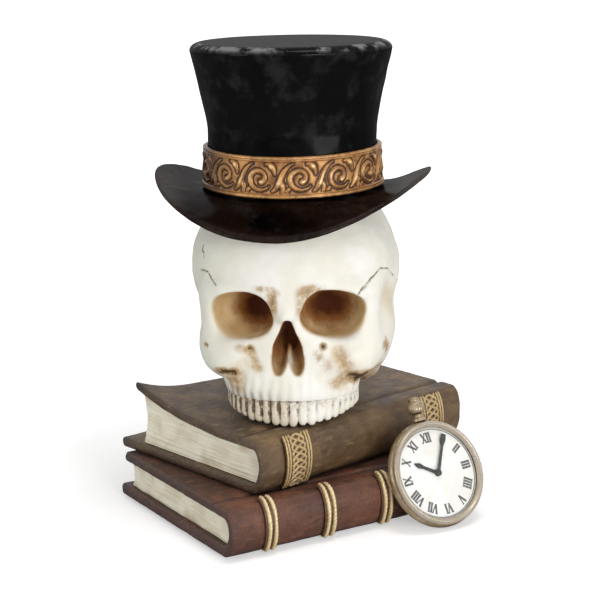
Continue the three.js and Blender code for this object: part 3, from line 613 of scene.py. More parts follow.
# Nose opening: a hollow that narrows upwards, a lobe below on each side, and the septum between them
nose_top = dict(start=(0, -14.5, 35), end=(0.2, -15.6, 46.4), radii=(5.3, 1.1))
nose_septum = dict(start=(0.2, -38, 20), end=(0.2, -33.5, 33.5), radii=(1.5, 0.9))
nose_lobe = dict(at=(3.1, -43, 30.5), size=(3.3, 11, 8.3), droop=-9)


def nose_distance(points):
    folded = points.copy()
    folded[..., 0] = np.abs(folded[..., 0])
    lobe = ball_distance(turned_about_y(folded, nose_lobe["at"], nose_lobe["droop"]), 0, nose_lobe["size"])
    hollow = joined(bar_distance(points * (1, 0.35, 1), **nose_top), lobe, 2)
    return carved(hollow, bar_distance(points, **nose_septum), 1.2)


# The arch of the teeth, as shares of its half width and its depth
def arch_shares(points):
    return points[..., 0] / (arch_width / 2), -(points[..., 1] + arch_centre_back) / arch_depth


def arch_reach(points):
    return np.hypot(*arch_shares(points))


def arch_turn(points):
    return np.arctan2(*arch_shares(points))


# The bed that is cut out of the skull for the teeth
def teeth_room(points):
    x, y, z = xyz(points)
    outside = (arch_reach(points) - 1) * arch_mean_radius
    walls = np.maximum(outside - rest_gap, -gum_depth - 0.5 - outside)
    return np.maximum(np.maximum(walls, z - tooth_height - 0.06), y + arch_centre_back - 1)


# Cracks, sutures and nicks, as places on the skull
crack_lines = [
    [(-35.5, -30, 75.4), (-36, -31, 73.4), (-34.9, -32, 72.4), (-35.3, -32.5, 70.8)],
    [(-36.9, -31.2, 65), (-35, -33.6, 65.6), (-33, -35.8, 65.2), (-31.6, -37.6, 63), (-29.5, -40.7, 60.8)],
    [(30.1, -40.9, 57.9), (32, -38.5, 59.4), (34.1, -35.7, 62.2), (36, -33, 63.4), (38, -29.5, 65.4),
     (41, -22.1, 63.8), (43, -12, 59), (44.2, -1.5, 53.6)],
    [(29.7, -41.4, 56.6), (30.7, -40.3, 59), (32.1, -38.7, 60.3), (33.9, -36.2, 61.6)],
    [(40.2, -22, 34), (40.4, -20, 30), (39.6, -17, 26), (38.6, -13, 21.5)],
]
crack_centre = np.array([0, 5, 60])
crack_width = 0.42
crack_depth = 0.5


def line_distance(points, line):
    near = points - crack_centre
    reach = np.linalg.norm(near, axis=-1)
    directions = near / reach[..., None]
    spots = np.array(line) - crack_centre
    spots = spots / np.linalg.norm(spots, axis=1, keepdims=True)
    nearest = np.full(points.shape[:-1], 10.0)
    for start, end in zip(spots[:-1], spots[1:]):
        nearest = np.minimum(nearest, bar_distance(directions, start, end, (0, 0)))
    return nearest * reach


# A wavy suture between two places, sewn back and forth
def suture(start, end, waves, swing):
    start, end = np.array(start, float), np.array(end, float)
    normal = np.cross(end - start, (start + end) / 2 - crack_centre)
    normal /= np.linalg.norm(normal)
    along = np.linspace(0, 1, waves * 4 + 1)
    turns = along * waves * 2 * math.pi
    offsets = swing * (np.sin(turns) + 0.5 * np.sin(2.6 * turns))
    return [tuple(start + (end - start) * share + normal * offset) for share, offset in zip(along, offsets)]


back_sutures = [
    suture((0, 52, 84), (-33, 40, 50), 9, 1.5),
    suture((0, 52, 84), (33, 40, 50), 9, 1.5),
    suture((-33, 40, 50), (-40, 18, 40), 5, 1.2),
    suture((33, 40, 50), (40, 18, 40), 5, 1.2),
]


def crack_marks(points):
    marks = np.zeros(points.shape[:-1])
    for line in crack_lines:
        marks = np.maximum(marks, bell(line_distance(points, line), crack_width))
    for line in back_sutures:
        marks = np.maximum(marks, 0.8 * bell(line_distance(points, line), 1.3 * crack_width))
    return marks


# Small pits: place, radius and depth
pits = [
    ((-16.2, -40.9, 33), 1.6, 2.2),
    ((14.7, -40.8, 34.7), 1.2, 1.6),
    ((-34.3, -36.1, 34), 0.7, 0.6),
    ((13.4, -41.8, 27.5), 0.8, 0.5),
    ((-17.6, -41, 29.5), 0.8, 0.5),
]

# Long shallow hollows, such as those below the cheekbones: line, width and depth
hollows = [
    ([(21.6, -41.9, 29.3), (25.6, -40.4, 23.8), (23.2, -35.5, 16.7)], 3.2, 1.5),
    ([(-23.8, -39, 21.9), (-18.8, -41.3, 26.9), (-20.6, -38.2, 19.5)], 2.8, 0.9),
    ([(-16.2, -40.9, 33), (-13, -41, 25)], 1.9, 0.5),
    ([(-41, -18, 52), (-42, -6, 44)], 6, 1.2),
    ([(41, -18, 52), (42, -6, 46)], 6, 1.0),
]


# Each pit or hollow as a mark between 0 and 1, with its depth
def pit_dents(points):
    return [(bell(away_from(points, at), radius), depth) for at, radius, depth in pits]


def hollow_dents(points):
    return [(bell(line_distance(points, line), width), depth) for line, width, depth in hollows]


def deepest(dents):
    return np.max([mark for mark, depth in dents], axis=0)


def small_relief(points):
    relief = crack_depth * crack_marks(points)
    for mark, depth in pit_dents(points) + hollow_dents(points):
        relief = relief + depth * mark
    x, y, z = xyz(points)
    roots = ramp(z, 10, 13) * (1 - ramp(z, 16, 26)) * ramp(-y, 18, 26) * ramp(z, 9, 12)
    relief = relief + 0.22 * roots * np.cos(arch_turn(points) * 2 * tooth_count)
    return relief + 0.32 * noise(points, 9) + 0.14 * noise(points + 50, 3.4)


def skull_smooth(points):
    distance = skull_body(points)
    for socket in sockets:
        distance = carved(distance, socket_distance(points, socket), 2.2)
    distance = carved(distance, nose_distance(points), 1.2)
    distance = carved(distance, teeth_room(points), 0.4)
    return np.maximum(distance, rest_gap - points[..., 2])


def skull_detailed(points):
    return skull_smooth(points) + small_relief(points) * ramp(points[..., 2], 0.5, 3)


# Points and faces where a distance crosses zero on a grid. Each axis has stretches with a start, an end
# and a step.
def surface_net(distance, axes):
    places = [np.concatenate([np.arange(*stretch) for stretch in stretches]) for stretches in axes]
    grid = np.stack(np.meshgrid(*places, indexing="ij"), -1)
    values = distance(grid)
    cells = np.array(values.shape) - 1
    total = np.zeros((*cells, 3))
    count = np.zeros(cells)
    crossings = []
    for axis in range(3):
        low, high = ([slice(None)] * 3 for _ in range(2))
        low[axis], high[axis] = slice(None, -1), slice(1, None)
        before, after = values[tuple(low)], values[tuple(high)]
        crossing = (before < 0) != (after < 0)
        share = np.where(crossing, before / np.where(crossing, before - after, 1), 0)
        spots = grid[tuple(low)] + (grid[tuple(high)] - grid[tuple(low)]) * share[..., None]
        spots = spots * crossing[..., None]
        others = [other for other in range(3) if other != axis]
        for offsets in product((0, 1), repeat=2):
            part = [slice(None)] * 3
            for other, offset in zip(others, offsets):
                part[other] = slice(offset, offset + cells[other])
            total += spots[tuple(part)]
            count += crossing[tuple(part)]
        crossings.append((axis, others, crossing, before < 0))
    used = count > 0
    number = np.full(cells, -1)
    number[used] = np.arange(used.sum())
    points = total[used] / count[used][:, None]
    faces = []
    for axis, others, crossing, starts_inside in crossings:
        places = np.argwhere(crossing)
        inner = np.all([(places[:, o] > 0) & (places[:, o] < cells[o]) for o in others], axis=0)
        places = places[inner]
        steps = np.eye(3, dtype=int)[others]
        corners = [places - steps[0] - steps[1], places - steps[1], places, places - steps[0]]
        face = np.stack([number[tuple(corner.T)] for corner in corners], -1)
        flip = starts_inside[tuple(places.T)] == (axis == 1)
        face[flip] = face[flip][:, ::-1]
        faces.append(face)
    return points, np.concatenate(faces).tolist()


def drawn_to_surface(points, distance, steps=3, reach=0.05):
    for _ in range(steps):
        here = distance(points)
        slope = np.stack([(distance(points + reach * step) - here) / reach for step in np.eye(3)], -1)
        steepness = np.maximum((slope**2).sum(-1), 0.2)
        points = points - slope * np.clip(here / steepness, -0.6, 0.6)[:, None]
    return points


# Edges near a crack or a pit are split in two, and their faces with them.
def refined(points, faces, reach):
    body = bmesh.new()
    mesh = bpy.data.meshes.new("refined")
    mesh.from_pydata(points.tolist(), [], faces)
    body.from_mesh(mesh)
    close = near_crack(points, reach)
    edges = [edge for edge in body.edges if close[edge.verts[0].index] and close[edge.verts[1].index]]
    bmesh.ops.subdivide_edges(body, edges=edges, cuts=1, use_grid_fill=True)
    body.to_mesh(mesh)
    body.free()
    points = np.array([vertex.co[:] for vertex in mesh.vertices])
    faces = [list(face.vertices) for face in mesh.polygons]
    bpy.data.meshes.remove(mesh)
    return points, faces


def near_crack(points, reach):
    close = np.zeros(len(points), bool)
    for line in crack_lines:
        close |= line_distance(points, line) < reach
    for at, radius, depth in pits:
        close |= away_from(points, at) < radius + reach
    return close


# One within the sockets and the nose opening, but less on the septum
def inside_marks(points):
    carved_away = ramp(-skull_body(points), 1.2, 2.6)
    septum = bell(points[..., 0] - 0.2, 1.5) * (1 - ramp(points[..., 2], 27, 35))
    inside = np.maximum(1 - ramp(nose_distance(points), -0.1, 0.8), carved_away) * (1 - 0.85 * septum)
    for socket in sockets:
        inside = np.maximum(inside, 1 - ramp(socket_distance(points, socket), -0.1, 0.9))
    return inside


# Furrows between the roots of the teeth, on the left side only, painted darker: partly the brown wash, partly
# painted shade
def root_marks(points):
    x, y, z = xyz(points)
    furrow = 0.5 + 0.5 * np.cos(arch_turn(points) * 2 * tooth_count)
    gum = ramp(z, 9, 11) * (1 - ramp(z, 12, 18))
    return furrow**2 * (1 - ramp(x, -13, 4)) * gum * ramp(-y, 16, 22)


# Each socket is darkest around one place, and the nose opening high up.
def socket_shade(points):
    shade = np.zeros(points.shape[:-1])
    for socket in sockets:
        x, y, z = xyz(turned_about_y(points, socket["at"], socket["droop"]))
        outwards = x / (socket["width"] / 2) * np.sign(socket["at"][0])
        upwards = z / (socket["height"] / 2)
        inside = ramp(-socket_distance(points, socket), -2.5, -1)
        from_darkest = np.hypot(outwards - socket["dark_at"][0], upwards - socket["dark_at"][1])
        shade = np.maximum(shade, inside * (1 - ramp(from_darkest, 0.1, 1.3)))
    nose = ramp(-nose_distance(points), -2, -0.5)
    return np.maximum(shade, nose * np.clip(0.6 + (points[..., 2] - 34) / 26, 0.25, 0.85))


# Stains of the brown wash, with painted shade among them under the cheekbones, at the jaw corners, low on the
# right side of the skull and beside the nasal bridge: place, reach and strength
stains_and_shade = [
    ((-16.2, -40.9, 33), (2, 5, 2), 1.35),
    ((-19.5, -40.6, 34), (3.4, 5, 2.6), 0.5),
    ((-14.3, -41, 28.5), (2.4, 5, 5), 0.6),
    ((-12, -40.8, 25), (2, 5, 3.4), 0.5),
    ((14.7, -40.8, 34.7), (1.6, 5, 1.6), 1.25),
    ((12.6, -41.2, 30.4), (3, 5, 3.6), 0.5),
    ((16.5, -40.8, 26.5), (3, 5, 4), 0.4),
    ((21.2, -41.2, 32.3), (3.6, 6, 4), 0.5),
    ((23.4, -41.8, 27), (4, 6, 5), 0.62),
    ((21, -37.6, 18.4), (5.4, 6, 3.4), 0.64),
    ((26.4, -37.4, 21.4), (4.4, 6, 2.8), 1.0),
    ((30.4, -34, 19.4), (4.6, 9, 3.6), 2.4),
    ((30.5, 3.6, 8.8), (5, 8, 4), 1.0),
    ((33.5, 2, 12), (5, 8, 4), 0.5),
    ((36.4, -12.5, 18.8), (4, 7, 4), 0.7),
    ((-26.9, -40.3, 23.5), (4.2, 7, 2), 1.5),
    ((-23.5, -40.2, 22.6), (3, 7, 2.4), 1.35),
    ((-24.5, -37, 18.5), (2.4, 7, 4.6), 0.8),
    ((-21.8, -36.5, 16.5), (3.6, 6, 4), 0.7),
    ((-4.9, -48.3, 58.8), (3, 6, 2.6), 0.75),
    ((-9.4, -47.6, 60.6), (4, 6, 1.6), 0.6),
    ((-5.1, -47.5, 54), (2, 6, 5), 0.9),
    ((-7, -45.5, 50), (2.4, 6, 5), 0.8),
    ((11, -47.2, 60), (5, 6, 2.6), 0.8),
    ((7.4, -48.1, 58), (3.4, 6, 3.6), 0.62),
    ((6, -46.5, 52), (2.4, 6, 6), 0.55),
    ((8, -43.3, 45.5), (2.2, 6, 3.6), 0.5),
    ((-34.8, -35.6, 33.9), (1, 4, 1.2), 1.0),
    ((39.7, -24.2, 31.6), (3, 4, 2.2), 0.7),
    ((40.2, -20.5, 29), (1.4, 4, 5), 0.8),
    ((33.5, -31, 21.5), (4, 7, 2.4), 0.7),
]


def stain_and_shade_marks(points):
    marks = np.zeros(points.shape[:-1])
    for at, reach, strength in stains_and_shade:
        away = np.linalg.norm((points - np.array(at)) / np.array(reach), axis=-1)
        marks = np.hypot(marks, strength * bell(away, 1))
    return marks


skull_axes = [
    [(-46.3, 46.8, 0.85)],
    [(-52.3, -20, 0.8), (-20, 61, 1.25)],
    [(-1.4, 88, 0.85), (88, 108, 2.4)],
]


def add_skull():
    points, faces = surface_net(skull_smooth, skull_axes)
    for reach in (2.2, 1.2):
        points, faces = refined(points, faces, reach)
    points = drawn_to_surface(points, skull_detailed)
    marks = {
        "crack": np.maximum(crack_marks(points), deepest(pit_dents(points))),
        "hollow": deepest(hollow_dents(points)),
        "dark": socket_shade(points),
        "stain_and_shade": stain_and_shade_marks(points),
        "inside": inside_marks(points),
        "root": root_marks(points),
    }
    add_piece("skull", points, faces, head_place, "bone", marks, crease=80)


# Teeth. Each is a rounded peg on the arch, and they meet in a gum ridge above. Lean, growth and lift
# of each differ, from -1 to 1.
tooth_changes = np.random.default_rng(23).uniform(-1, 1, (tooth_count, 3))
teeth_step = 0.42
teeth_axes = [[(-29.5, 29.9, teeth_step)], [(-45, -15, teeth_step)], [(-0.6, 12.4, teeth_step)]]


def teeth_distance(points):
    x, y, z = xyz(points)
    distance = np.full(x.shape, 50.0)
    width = math.pi * arch_mean_radius / tooth_count
    inset = tooth_thickness / 2
    for i, (lean, growth, lift) in enumerate(tooth_changes):
        angle = -math.pi / 2 + (i + 0.5 + 0.08 * lean) * math.pi / tooth_count
        across, along = math.sin(angle), math.cos(angle)
        near_x = x - (arch_width / 2 - inset) * across
        near_y = y + arch_centre_back + (arch_depth - inset) * along
        sideways = near_x * along + near_y * across - 0.05 * lean * (z - tooth_height)
        outwards = near_y * along - near_x * across
        rise = tooth_rise * across**2
        upwards = z - (tooth_height + 3 + rise) / 2 - 0.35 - 0.35 * lift
        half_width = (0.53 + 0.03 * growth) * width
        size = np.array([half_width, 0.54 * tooth_thickness, (tooth_height + 3.4 - rise) / 2])
        side_share, out_share, up_share = xyz(np.abs(np.stack([sideways, outwards, upwards], -1)) / size)
        around = (side_share**2.4 + out_share**2.4) ** (2 / 2.4)
        distance = joined(distance, (np.sqrt(around + up_share**6) - 1) * half_width, 0.35)
    outside = (arch_reach(points) - 1) * arch_mean_radius
    bar = np.maximum(outside + 0.9, -gum_depth - outside)
    bar = np.maximum(bar, np.abs(z - tooth_height + gum_height / 2) - gum_height / 2)
    bar = np.maximum(bar, y + arch_centre_back)
    distance = np.maximum(joined(distance, bar, 0.8), z - tooth_height)
    return np.maximum(distance, rest_gap - z) + 0.12 * noise(points, 2.6)


def add_teeth():
    points, faces = surface_net(teeth_distance, teeth_axes)
    points = drawn_to_surface(points, teeth_distance, 2)
    place = arch_turn(points) / math.pi * tooth_count + 0.5 * tooth_count
    gap = (1 - ramp(np.abs(place - np.round(place)), 0.03, 0.4)) * (0.45 + 0.55 * ramp(points[:, 2], 2, 8))
    gum = bell(points[:, 2] - tooth_height, 2.2)
    add_piece("upper_teeth", points, faces, head_place, "teeth", {"gap": gap, "gum": gum}, crease=80)


# Hat. Heights are above the ring where the crown meets the brim.
def crown_radius(height):
    below = np.clip((crown_waist_height - height) / crown_waist_height, 0, 1)
    flared_height = crown_height - crown_edge_round - crown_waist_height
    above = np.clip((height - crown_waist_height) / flared_height, 0, 1)
    flare = (crown_base_radius - crown_waist_radius) * below**2
    return crown_waist_radius + flare + (crown_top_radius - crown_waist_radius) * above**1.25


def bend_brim(points):
    x, y, z = xyz(points)
    share = np.clip((np.hypot(x, y) - crown_base_radius) / brim_reach, 0, None) * (z < brim_limit)
    sideways = np.cos(np.arctan2(y, x) + math.radians(brim_turn)) ** 2
    z += sideways * brim_side_rise * share**2.2 - (1 - sideways) * brim_front_drop * share


# The hat's underside follows the skull, a small gap above it.
def seat_on_skull(seat):
    to_head = np.array(hat_on_head)
    x, y, z = xyz(seat)
    height = np.full(z.shape, 14.0)
    for _ in range(40):
        spot = np.stack([x, y, height], -1) @ to_head[:3, :3].T + to_head[:3, 3]
        height = np.maximum(height - 0.7 * (skull_body(spot) - hat_seat_gap), z)
    z[:] = np.where(np.hypot(x, y) < 0.5 * skull_width, height, z)


def add_hat():
    brim_edge = crown_base_radius + brim_reach - brim_edge_inset
    brim_round = brim_thickness / 2
    flat_top = crown_top_radius - crown_edge_reach
    walls = np.linspace(0.7, crown_height - crown_edge_round, 60)
    edge_size = (crown_edge_reach, crown_edge_round)
    top_round = arc((flat_top, crown_height - crown_edge_round), edge_size, 0, 90, 9)
    underside = np.linspace(4, brim_edge, 60)
    profile = np.vstack([
        at_height(underside, -brim_thickness),
        arc((brim_edge, -brim_round), (brim_round, brim_round), -70, 70, 6),
        at_height(np.linspace(brim_edge, crown_base_radius + brim_limit, 26), 0),
        np.column_stack([crown_radius(walls), walls]),
        top_round[1:],
        at_height(np.linspace(flat_top - 1.5, 3, 18), crown_height),
    ])
    points, faces = lathe(profile, 224)
    bend_brim(points)
    seat_on_skull(points[: len(underside)])
    wobble = 0.3 * noise(points, 13) + 0.1 * noise(points + 30, 5)
    radial = points * (1, 1, 0)
    radial /= np.maximum(np.linalg.norm(radial, axis=-1, keepdims=True), 1)
    on_wall = ((points[..., 2] > 3) & (np.arange(len(profile)) > len(underside) + 30)[:, None])[..., None]
    points = points + np.where(on_wall, radial, np.array([0, 0, 1.2])) * wobble[..., None]
    reach = (np.hypot(points[..., 0], points[..., 1]) - crown_base_radius) / brim_reach
    on_brim = (profile[:, 1] < brim_limit)[:, None]
    roll = bell(profile[:, 1] - crown_height + 0.7, 1.1) * (profile[:, 0] > flat_top)
    marks = {
        "rim": bell(reach - 1.02, 0.12) * on_brim,
        "roll": roll[:, None] + 0 * reach,
        "brim": ramp(reach, 0.02, 0.2) * on_brim,
        "tips": ramp(np.abs(points[..., 0]) - crown_base_radius, 3, 16) * on_brim,
    }
    add_piece("top_hat", points, faces, hat_place, "hat", marks, crease=50)


# Hat band: one scroll of a running vine, as strokes whose widths change from start to end
def with_widths(line, share, widths):
    return np.column_stack([line, np.interp(share, np.linspace(0, 1, len(widths)), widths)])


def spiral(centre, start_radius, end_radius, start, end, widths, steps=40):
    share = np.linspace(0, 1, steps)
    angle = np.radians(start + (end - start) * share)
    radius = start_radius + (end_radius - start_radius) * share
    line = np.column_stack([centre[0] + radius * np.cos(angle), centre[1] + radius * np.sin(angle)])
    return with_widths(line, share, widths)


def bent_stroke(corner_shares, size, widths, steps=24):
    share = np.linspace(0, 1, steps)
    pulls = [(1 - share) ** 3, 3 * share * (1 - share) ** 2, 3 * share**2 * (1 - share), share**3]
    return with_widths(np.stack(pulls, -1) @ (np.array(corner_shares) * size), share, widths)


# Places on the vine are shares of its period and of the room between the band's rims.
def scroll_strokes(period, room):
    size = (period, room)
    strokes = [
        ([(0.78, 0.06), (1.0, 0.2), (0.94, 0.74), (1.28, 0.95)], (0.5, 1.25, 1.0, 0.4)),
        ([(0.62, 0.93), (0.74, 0.98), (0.82, 0.8), (0.84, 0.6)], (0.5, 1.3, 0.5)),
        ([(0.02, 0.04), (0.05, 0.2), (0.0, 0.34), (-0.02, 0.4)], (0.8, 1.1, 0.5)),
        ([(0.13, 0.06), (0.15, 0.08), (0.16, 0.1), (0.17, 0.12)], (0.75, 0.75)),
    ]
    coil = spiral((0.45 * period, 0.47 * room), 5.1, 1.7, -40, -420, (0.4, 0.95, 1.15, 0.95, 0.8, 1.25))
    return np.vstack([coil] + [bent_stroke(corner_shares, size, widths) for corner_shares, widths in strokes])


# Height of the strokes and the groove beside them, at each place round the band and up it
def band_relief(angles, shares_up):
    room = band_height - 2.6 * band_rim_height
    period = 2 * math.pi * crown_waist_radius / scroll_count
    place = (angles / (2 * math.pi) * scroll_count * period + scroll_start) % period
    up = shares_up * band_height - 1.3 * band_rim_height
    height = np.zeros((len(up), len(place)))
    beside = np.full(height.shape, 5.0)
    for offset in (-period, 0, period):
        for x, y, width in scroll_strokes(period, room):
            away = np.hypot(place[None, :] - x - offset, up[:, None] - y)
            height = np.maximum(height, ridge(away, width))
            beside = np.minimum(beside, away - width)
    return np.minimum(height, 1.25), bell(np.maximum(beside, 0) - 0.2, 0.42)


def add_band():
    angles = np.linspace(0, 2 * math.pi, 960, endpoint=False)
    shares_up = np.linspace(0, 1, 58)
    from_rim = np.minimum(shares_up, 1 - shares_up) / (band_rim_height / band_height)
    rounding = 0.55 + 0.45 * np.sqrt(np.clip(from_rim * 3, 0, 1))
    rim = band_rim_proud * (1 - ramp(from_rim, 1, 1.35)) * rounding - 0.35 * bell(from_rim - 0.8, 0.12)
    vine, groove = band_relief(angles, shares_up)
    inside = ramp(from_rim, 1, 1.3)[:, None]
    ground = 0.34 * (1 - groove) * inside
    proud = np.maximum(rim[:, None], np.maximum(0.8 * vine * inside, ground))

    def ringed(radius, heights):
        parts = np.broadcast_arrays(radius * np.cos(angles), radius * np.sin(angles), heights[:, None])
        return np.stack(parts, -1)

    heights = band_foot + band_height * shares_up
    lumps = 0.1 * noise(ringed(40, heights), 4)
    outer = ringed(crown_radius(heights)[:, None] + seat_gap + band_thickness - 0.4 + proud + lumps, heights)
    inner = ringed(crown_radius(heights[::-8])[:, None] + seat_gap, heights[::-8])
    loops = np.concatenate([outer, inner])
    x, y, z = xyz(loops)
    z -= band_dip * (1 - np.cos(np.arctan2(y, x)) ** 2)
    raised = np.concatenate([proud / 1.1, np.zeros(inner.shape[:2])])
    marks = {"raised": np.clip(raised, 0, 1)}
    add_piece("hat_band", *skinned(loops, ring=True), hat_place, "band", marks, crease=70)


# Watch. Its own axes are X to the right, Y to twelve o'clock and Z out of the dial, from the case's back.
def prism(outline, foot, top, round_edge=0.0):
    away = outward(outline)
    levels = [(foot, 0), (top - round_edge, 0), (top, round_edge)] if round_edge else [(foot, 0), (top, 0)]
    return skinned(np.array([at_height(outline - inset * away, level) for level, inset in levels]))


def merged(parts):
    points, faces, start = [], [], 0
    for part_points, part_faces in parts:
        points.append(part_points.reshape(-1, 3))
        faces += [[start + index for index in face] for face in part_faces]
        start += len(points[-1])
    return np.vstack(points), faces


def stroke_outline(start, end, width):
    start, end = np.array(start, float), np.array(end, float)
    run = (end - start) / np.linalg.norm(end - start)
    side = np.array([-run[1], run[0]]) * width / 2
    return np.array([start - side, end - side, end + side, start + side])


# What is drawn upright at twelve, turned to its place on the dial
def on_dial(outline, degrees):
    clock = -math.radians(degrees - dial_turn)
    return outline @ np.array([[math.cos(clock), math.sin(clock)], [-math.sin(clock), math.cos(clock)]])


# Each letter is strokes in its own box, as shares of its height. Thick strokes come first.
thick_stroke = 0.22
thin_stroke = 0.12
serif_stroke = 0.1
letters = {
    "I": dict(advance=0.3, strokes=[((0, 0), (0, 1), thick_stroke)], serifs=[((0, 0), 0.26), ((0, 1), 0.26)]),
    "V": dict(
        advance=0.62,
        strokes=[((-0.24, 1), (0, 0), thick_stroke), ((0.24, 1), (0, 0), thin_stroke)],
        serifs=[((-0.24, 1), 0.26), ((0.24, 1), 0.22)],
    ),
    "X": dict(
        advance=0.66,
        strokes=[((-0.24, 1), (0.24, 0), thick_stroke), ((0.24, 1), (-0.24, 0), thin_stroke)],
        serifs=[((-0.24, 1), 0.24), ((0.24, 1), 0.2), ((-0.24, 0), 0.2), ((0.24, 0), 0.24)],
    ),
}
hour_names = ["XII", "I", "II", "III", "IIII", "V", "VI", "VII", "VIII", "IX", "X", "XI"]


def numeral_parts(foot, top):
    parts = []
    for hour, name in enumerate(hour_names):
        start = -sum(letters[letter]["advance"] for letter in name) / 2
        for letter in name:
            shape = letters[letter]
            middle = start + shape["advance"] / 2
            start += shape["advance"]
            outlines = [stroke_outline(*stroke) for stroke in shape["strokes"]]
            for (x, y), reach in shape["serifs"]:
                outlines.append(stroke_outline((x - reach / 2, y), (x + reach / 2, y), serif_stroke))
            for outline in outlines:
                outline = (outline + (middle, -0.5)) * numeral_height + (0, numeral_radius)
                parts.append(prism(on_dial(outline, hour * 30), foot, top))
    return parts


# A thin dark ring round the dial, just inside the bezel: a painted shadow of the bezel's inner edge
def bezel_shadow_ring_part(foot, top):
    outer = bezel_inner_radius - shadow_ring_inset
    inner = outer - shadow_ring_width
    return lathe([(inner, foot), (outer, foot), (outer, top), (inner, top)], 120, ring=True)


def hand_outline(hand):
    right = np.vstack([
        [(0.4 * hand.width, -0.8 * hand_hub_radius)],
        arc((0, 0), (hand_hub_radius,) * 2, -60, 60, 10),
        [(hand.width / 2, 1.1 * hand_hub_radius), (0.42 * hand.width, hand.length - 2 * hand.tip_width),
         (hand.tip_width / 2, hand.length - hand.tip_width), (hand.end_share * hand.tip_width, hand.length)],
    ])
    return on_dial(np.vstack([right, right[::-1] * (-1, 1)]), hand.degrees)


def add_watch():
    place = watch_place()
    case_profile = [
        (case_hub_radius, 0.001), (case_back_radius - case_back_round, 0),
        (case_back_radius, 0.14 * case_height), (case_radius, 0.5 * case_height),
        (case_radius, 0.75 * case_height), (case_lip_radius, case_height), (case_seat_radius, case_height),
        (case_seat_radius, case_seat_height), (case_hub_radius, case_seat_height),
    ]
    case_profile = rounded(case_profile, case_round, 5, closed=False)
    add_piece("watch_case", *lathe(case_profile, 144), place, "champagne")

    foot = case_height + seat_gap
    top = foot + bezel_height
    bezel_profile = [
        (bezel_inner_radius, foot), (bezel_outer_radius, foot),
        (bezel_outer_radius, foot + 0.45 * bezel_height),
        (bezel_outer_radius - 0.5, top - 0.22 * bezel_height),
        ((bezel_outer_radius + bezel_inner_radius) / 2 + 0.2, top),
        (bezel_inner_radius + 0.8, top - 0.22 * bezel_height),
        (bezel_inner_radius, foot + 0.4 * bezel_height),
    ]
    add_piece("watch_bezel", *lathe(rounded(bezel_profile, bezel_round, 5), 160, ring=True), place, "bezel")

    dial_foot = case_seat_height + rest_gap
    dial_top = dial_foot + dial_thickness
    dial_radius = case_seat_radius - seat_gap
    dial_profile = np.vstack([
        [(1, dial_foot), (dial_radius, dial_foot), (dial_radius, dial_top - dial_edge_round)],
        at_height(np.linspace(dial_radius - dial_edge_round, 1, 24), dial_top),
    ])
    add_piece("watch_dial", *lathe(dial_profile, 144), place, "dial")
    print_foot = dial_top - print_sink
    numerals = numeral_parts(print_foot, dial_top + print_height)
    # The dark ring is a painted shadow of the bezel's inner edge, laid with the numerals.
    ring = bezel_shadow_ring_part(print_foot, dial_top + shadow_ring_height)
    add_piece("watch_numerals", *merged(numerals + [ring]), place, "numeral", replaces=False)

    foot = dial_top + seat_gap
    for hand in (hour_hand, minute_hand):
        solid = prism(hand_outline(hand), foot, foot + hand_thickness, hand_edge_round)
        add_piece(hand.name, *solid, place, "hand")
        foot = foot + hand_thickness + seat_gap
    post_profile = [
        (post_radius, dial_top + rest_gap), (post_radius, foot - 0.25), (post_radius - 0.08, foot - 0.1),
        (post_radius - 0.3, foot),
    ]
    add_piece("watch_hand_post", *lathe(post_profile, 32), place, "hand")

    stem_place = place @ shift(0, 0, case_height / 2) @ turn(-90, "X")
    start = case_radius
    pendant_profile = [
        (pendant_collar_radius, start + 0.2), (pendant_collar_radius, start + 0.4 * pendant_length),
        (pendant_radius, start + 0.55 * pendant_length), (pendant_radius, start + 0.8 * pendant_length),
        (1.2 * pendant_radius, start + 0.95 * pendant_length), (0.8 * pendant_radius, start + pendant_length),
    ]
    pendant_profile = rounded(pendant_profile, pendant_round, 4, closed=False)
    add_piece("watch_pendant", *lathe(pendant_profile, 48), stem_place, "champagne")

    knob_start = start + pendant_length + seat_gap
    end = knob_start + knob_length
    knob_profile = [
        (0.5 * knob_radius, knob_start), (0.75 * knob_radius, knob_start + 0.02 * knob_length),
        (0.96 * knob_radius, knob_start + 0.2 * knob_length), (knob_radius, knob_start + 0.45 * knob_length),
        (0.9 * knob_radius, knob_start + 0.78 * knob_length), (knob_cap_radius * 1.02, end),
        (knob_cap_radius, end + 0.7 * knob_cap_length), (0.6 * knob_cap_radius, end + knob_cap_length),
    ]
    points, faces = lathe(rounded(knob_profile, knob_round, 5, closed=False), 192)
    x, y, z = xyz(points)
    radius = np.hypot(x, y)
    ribs = np.abs(np.sin(np.arctan2(y, x) * knob_rib_count / 2))
    ribs = ribs * ramp(radius, 0.8 * knob_radius, 0.95 * knob_radius)
    points[..., :2] *= (1 - knob_rib_depth * ribs / np.maximum(radius, 1))[..., None]
    add_piece("watch_crown", points, faces, stem_place, "champagne")


# Materials. A shade is red, green and blue from 0 to 255.
def paint(shade):
    share = np.array(shade) / 255
    return (*np.where(share <= 0.04045, share / 12.92, ((share + 0.055) / 1.055) ** 2.4).tolist(), 1)


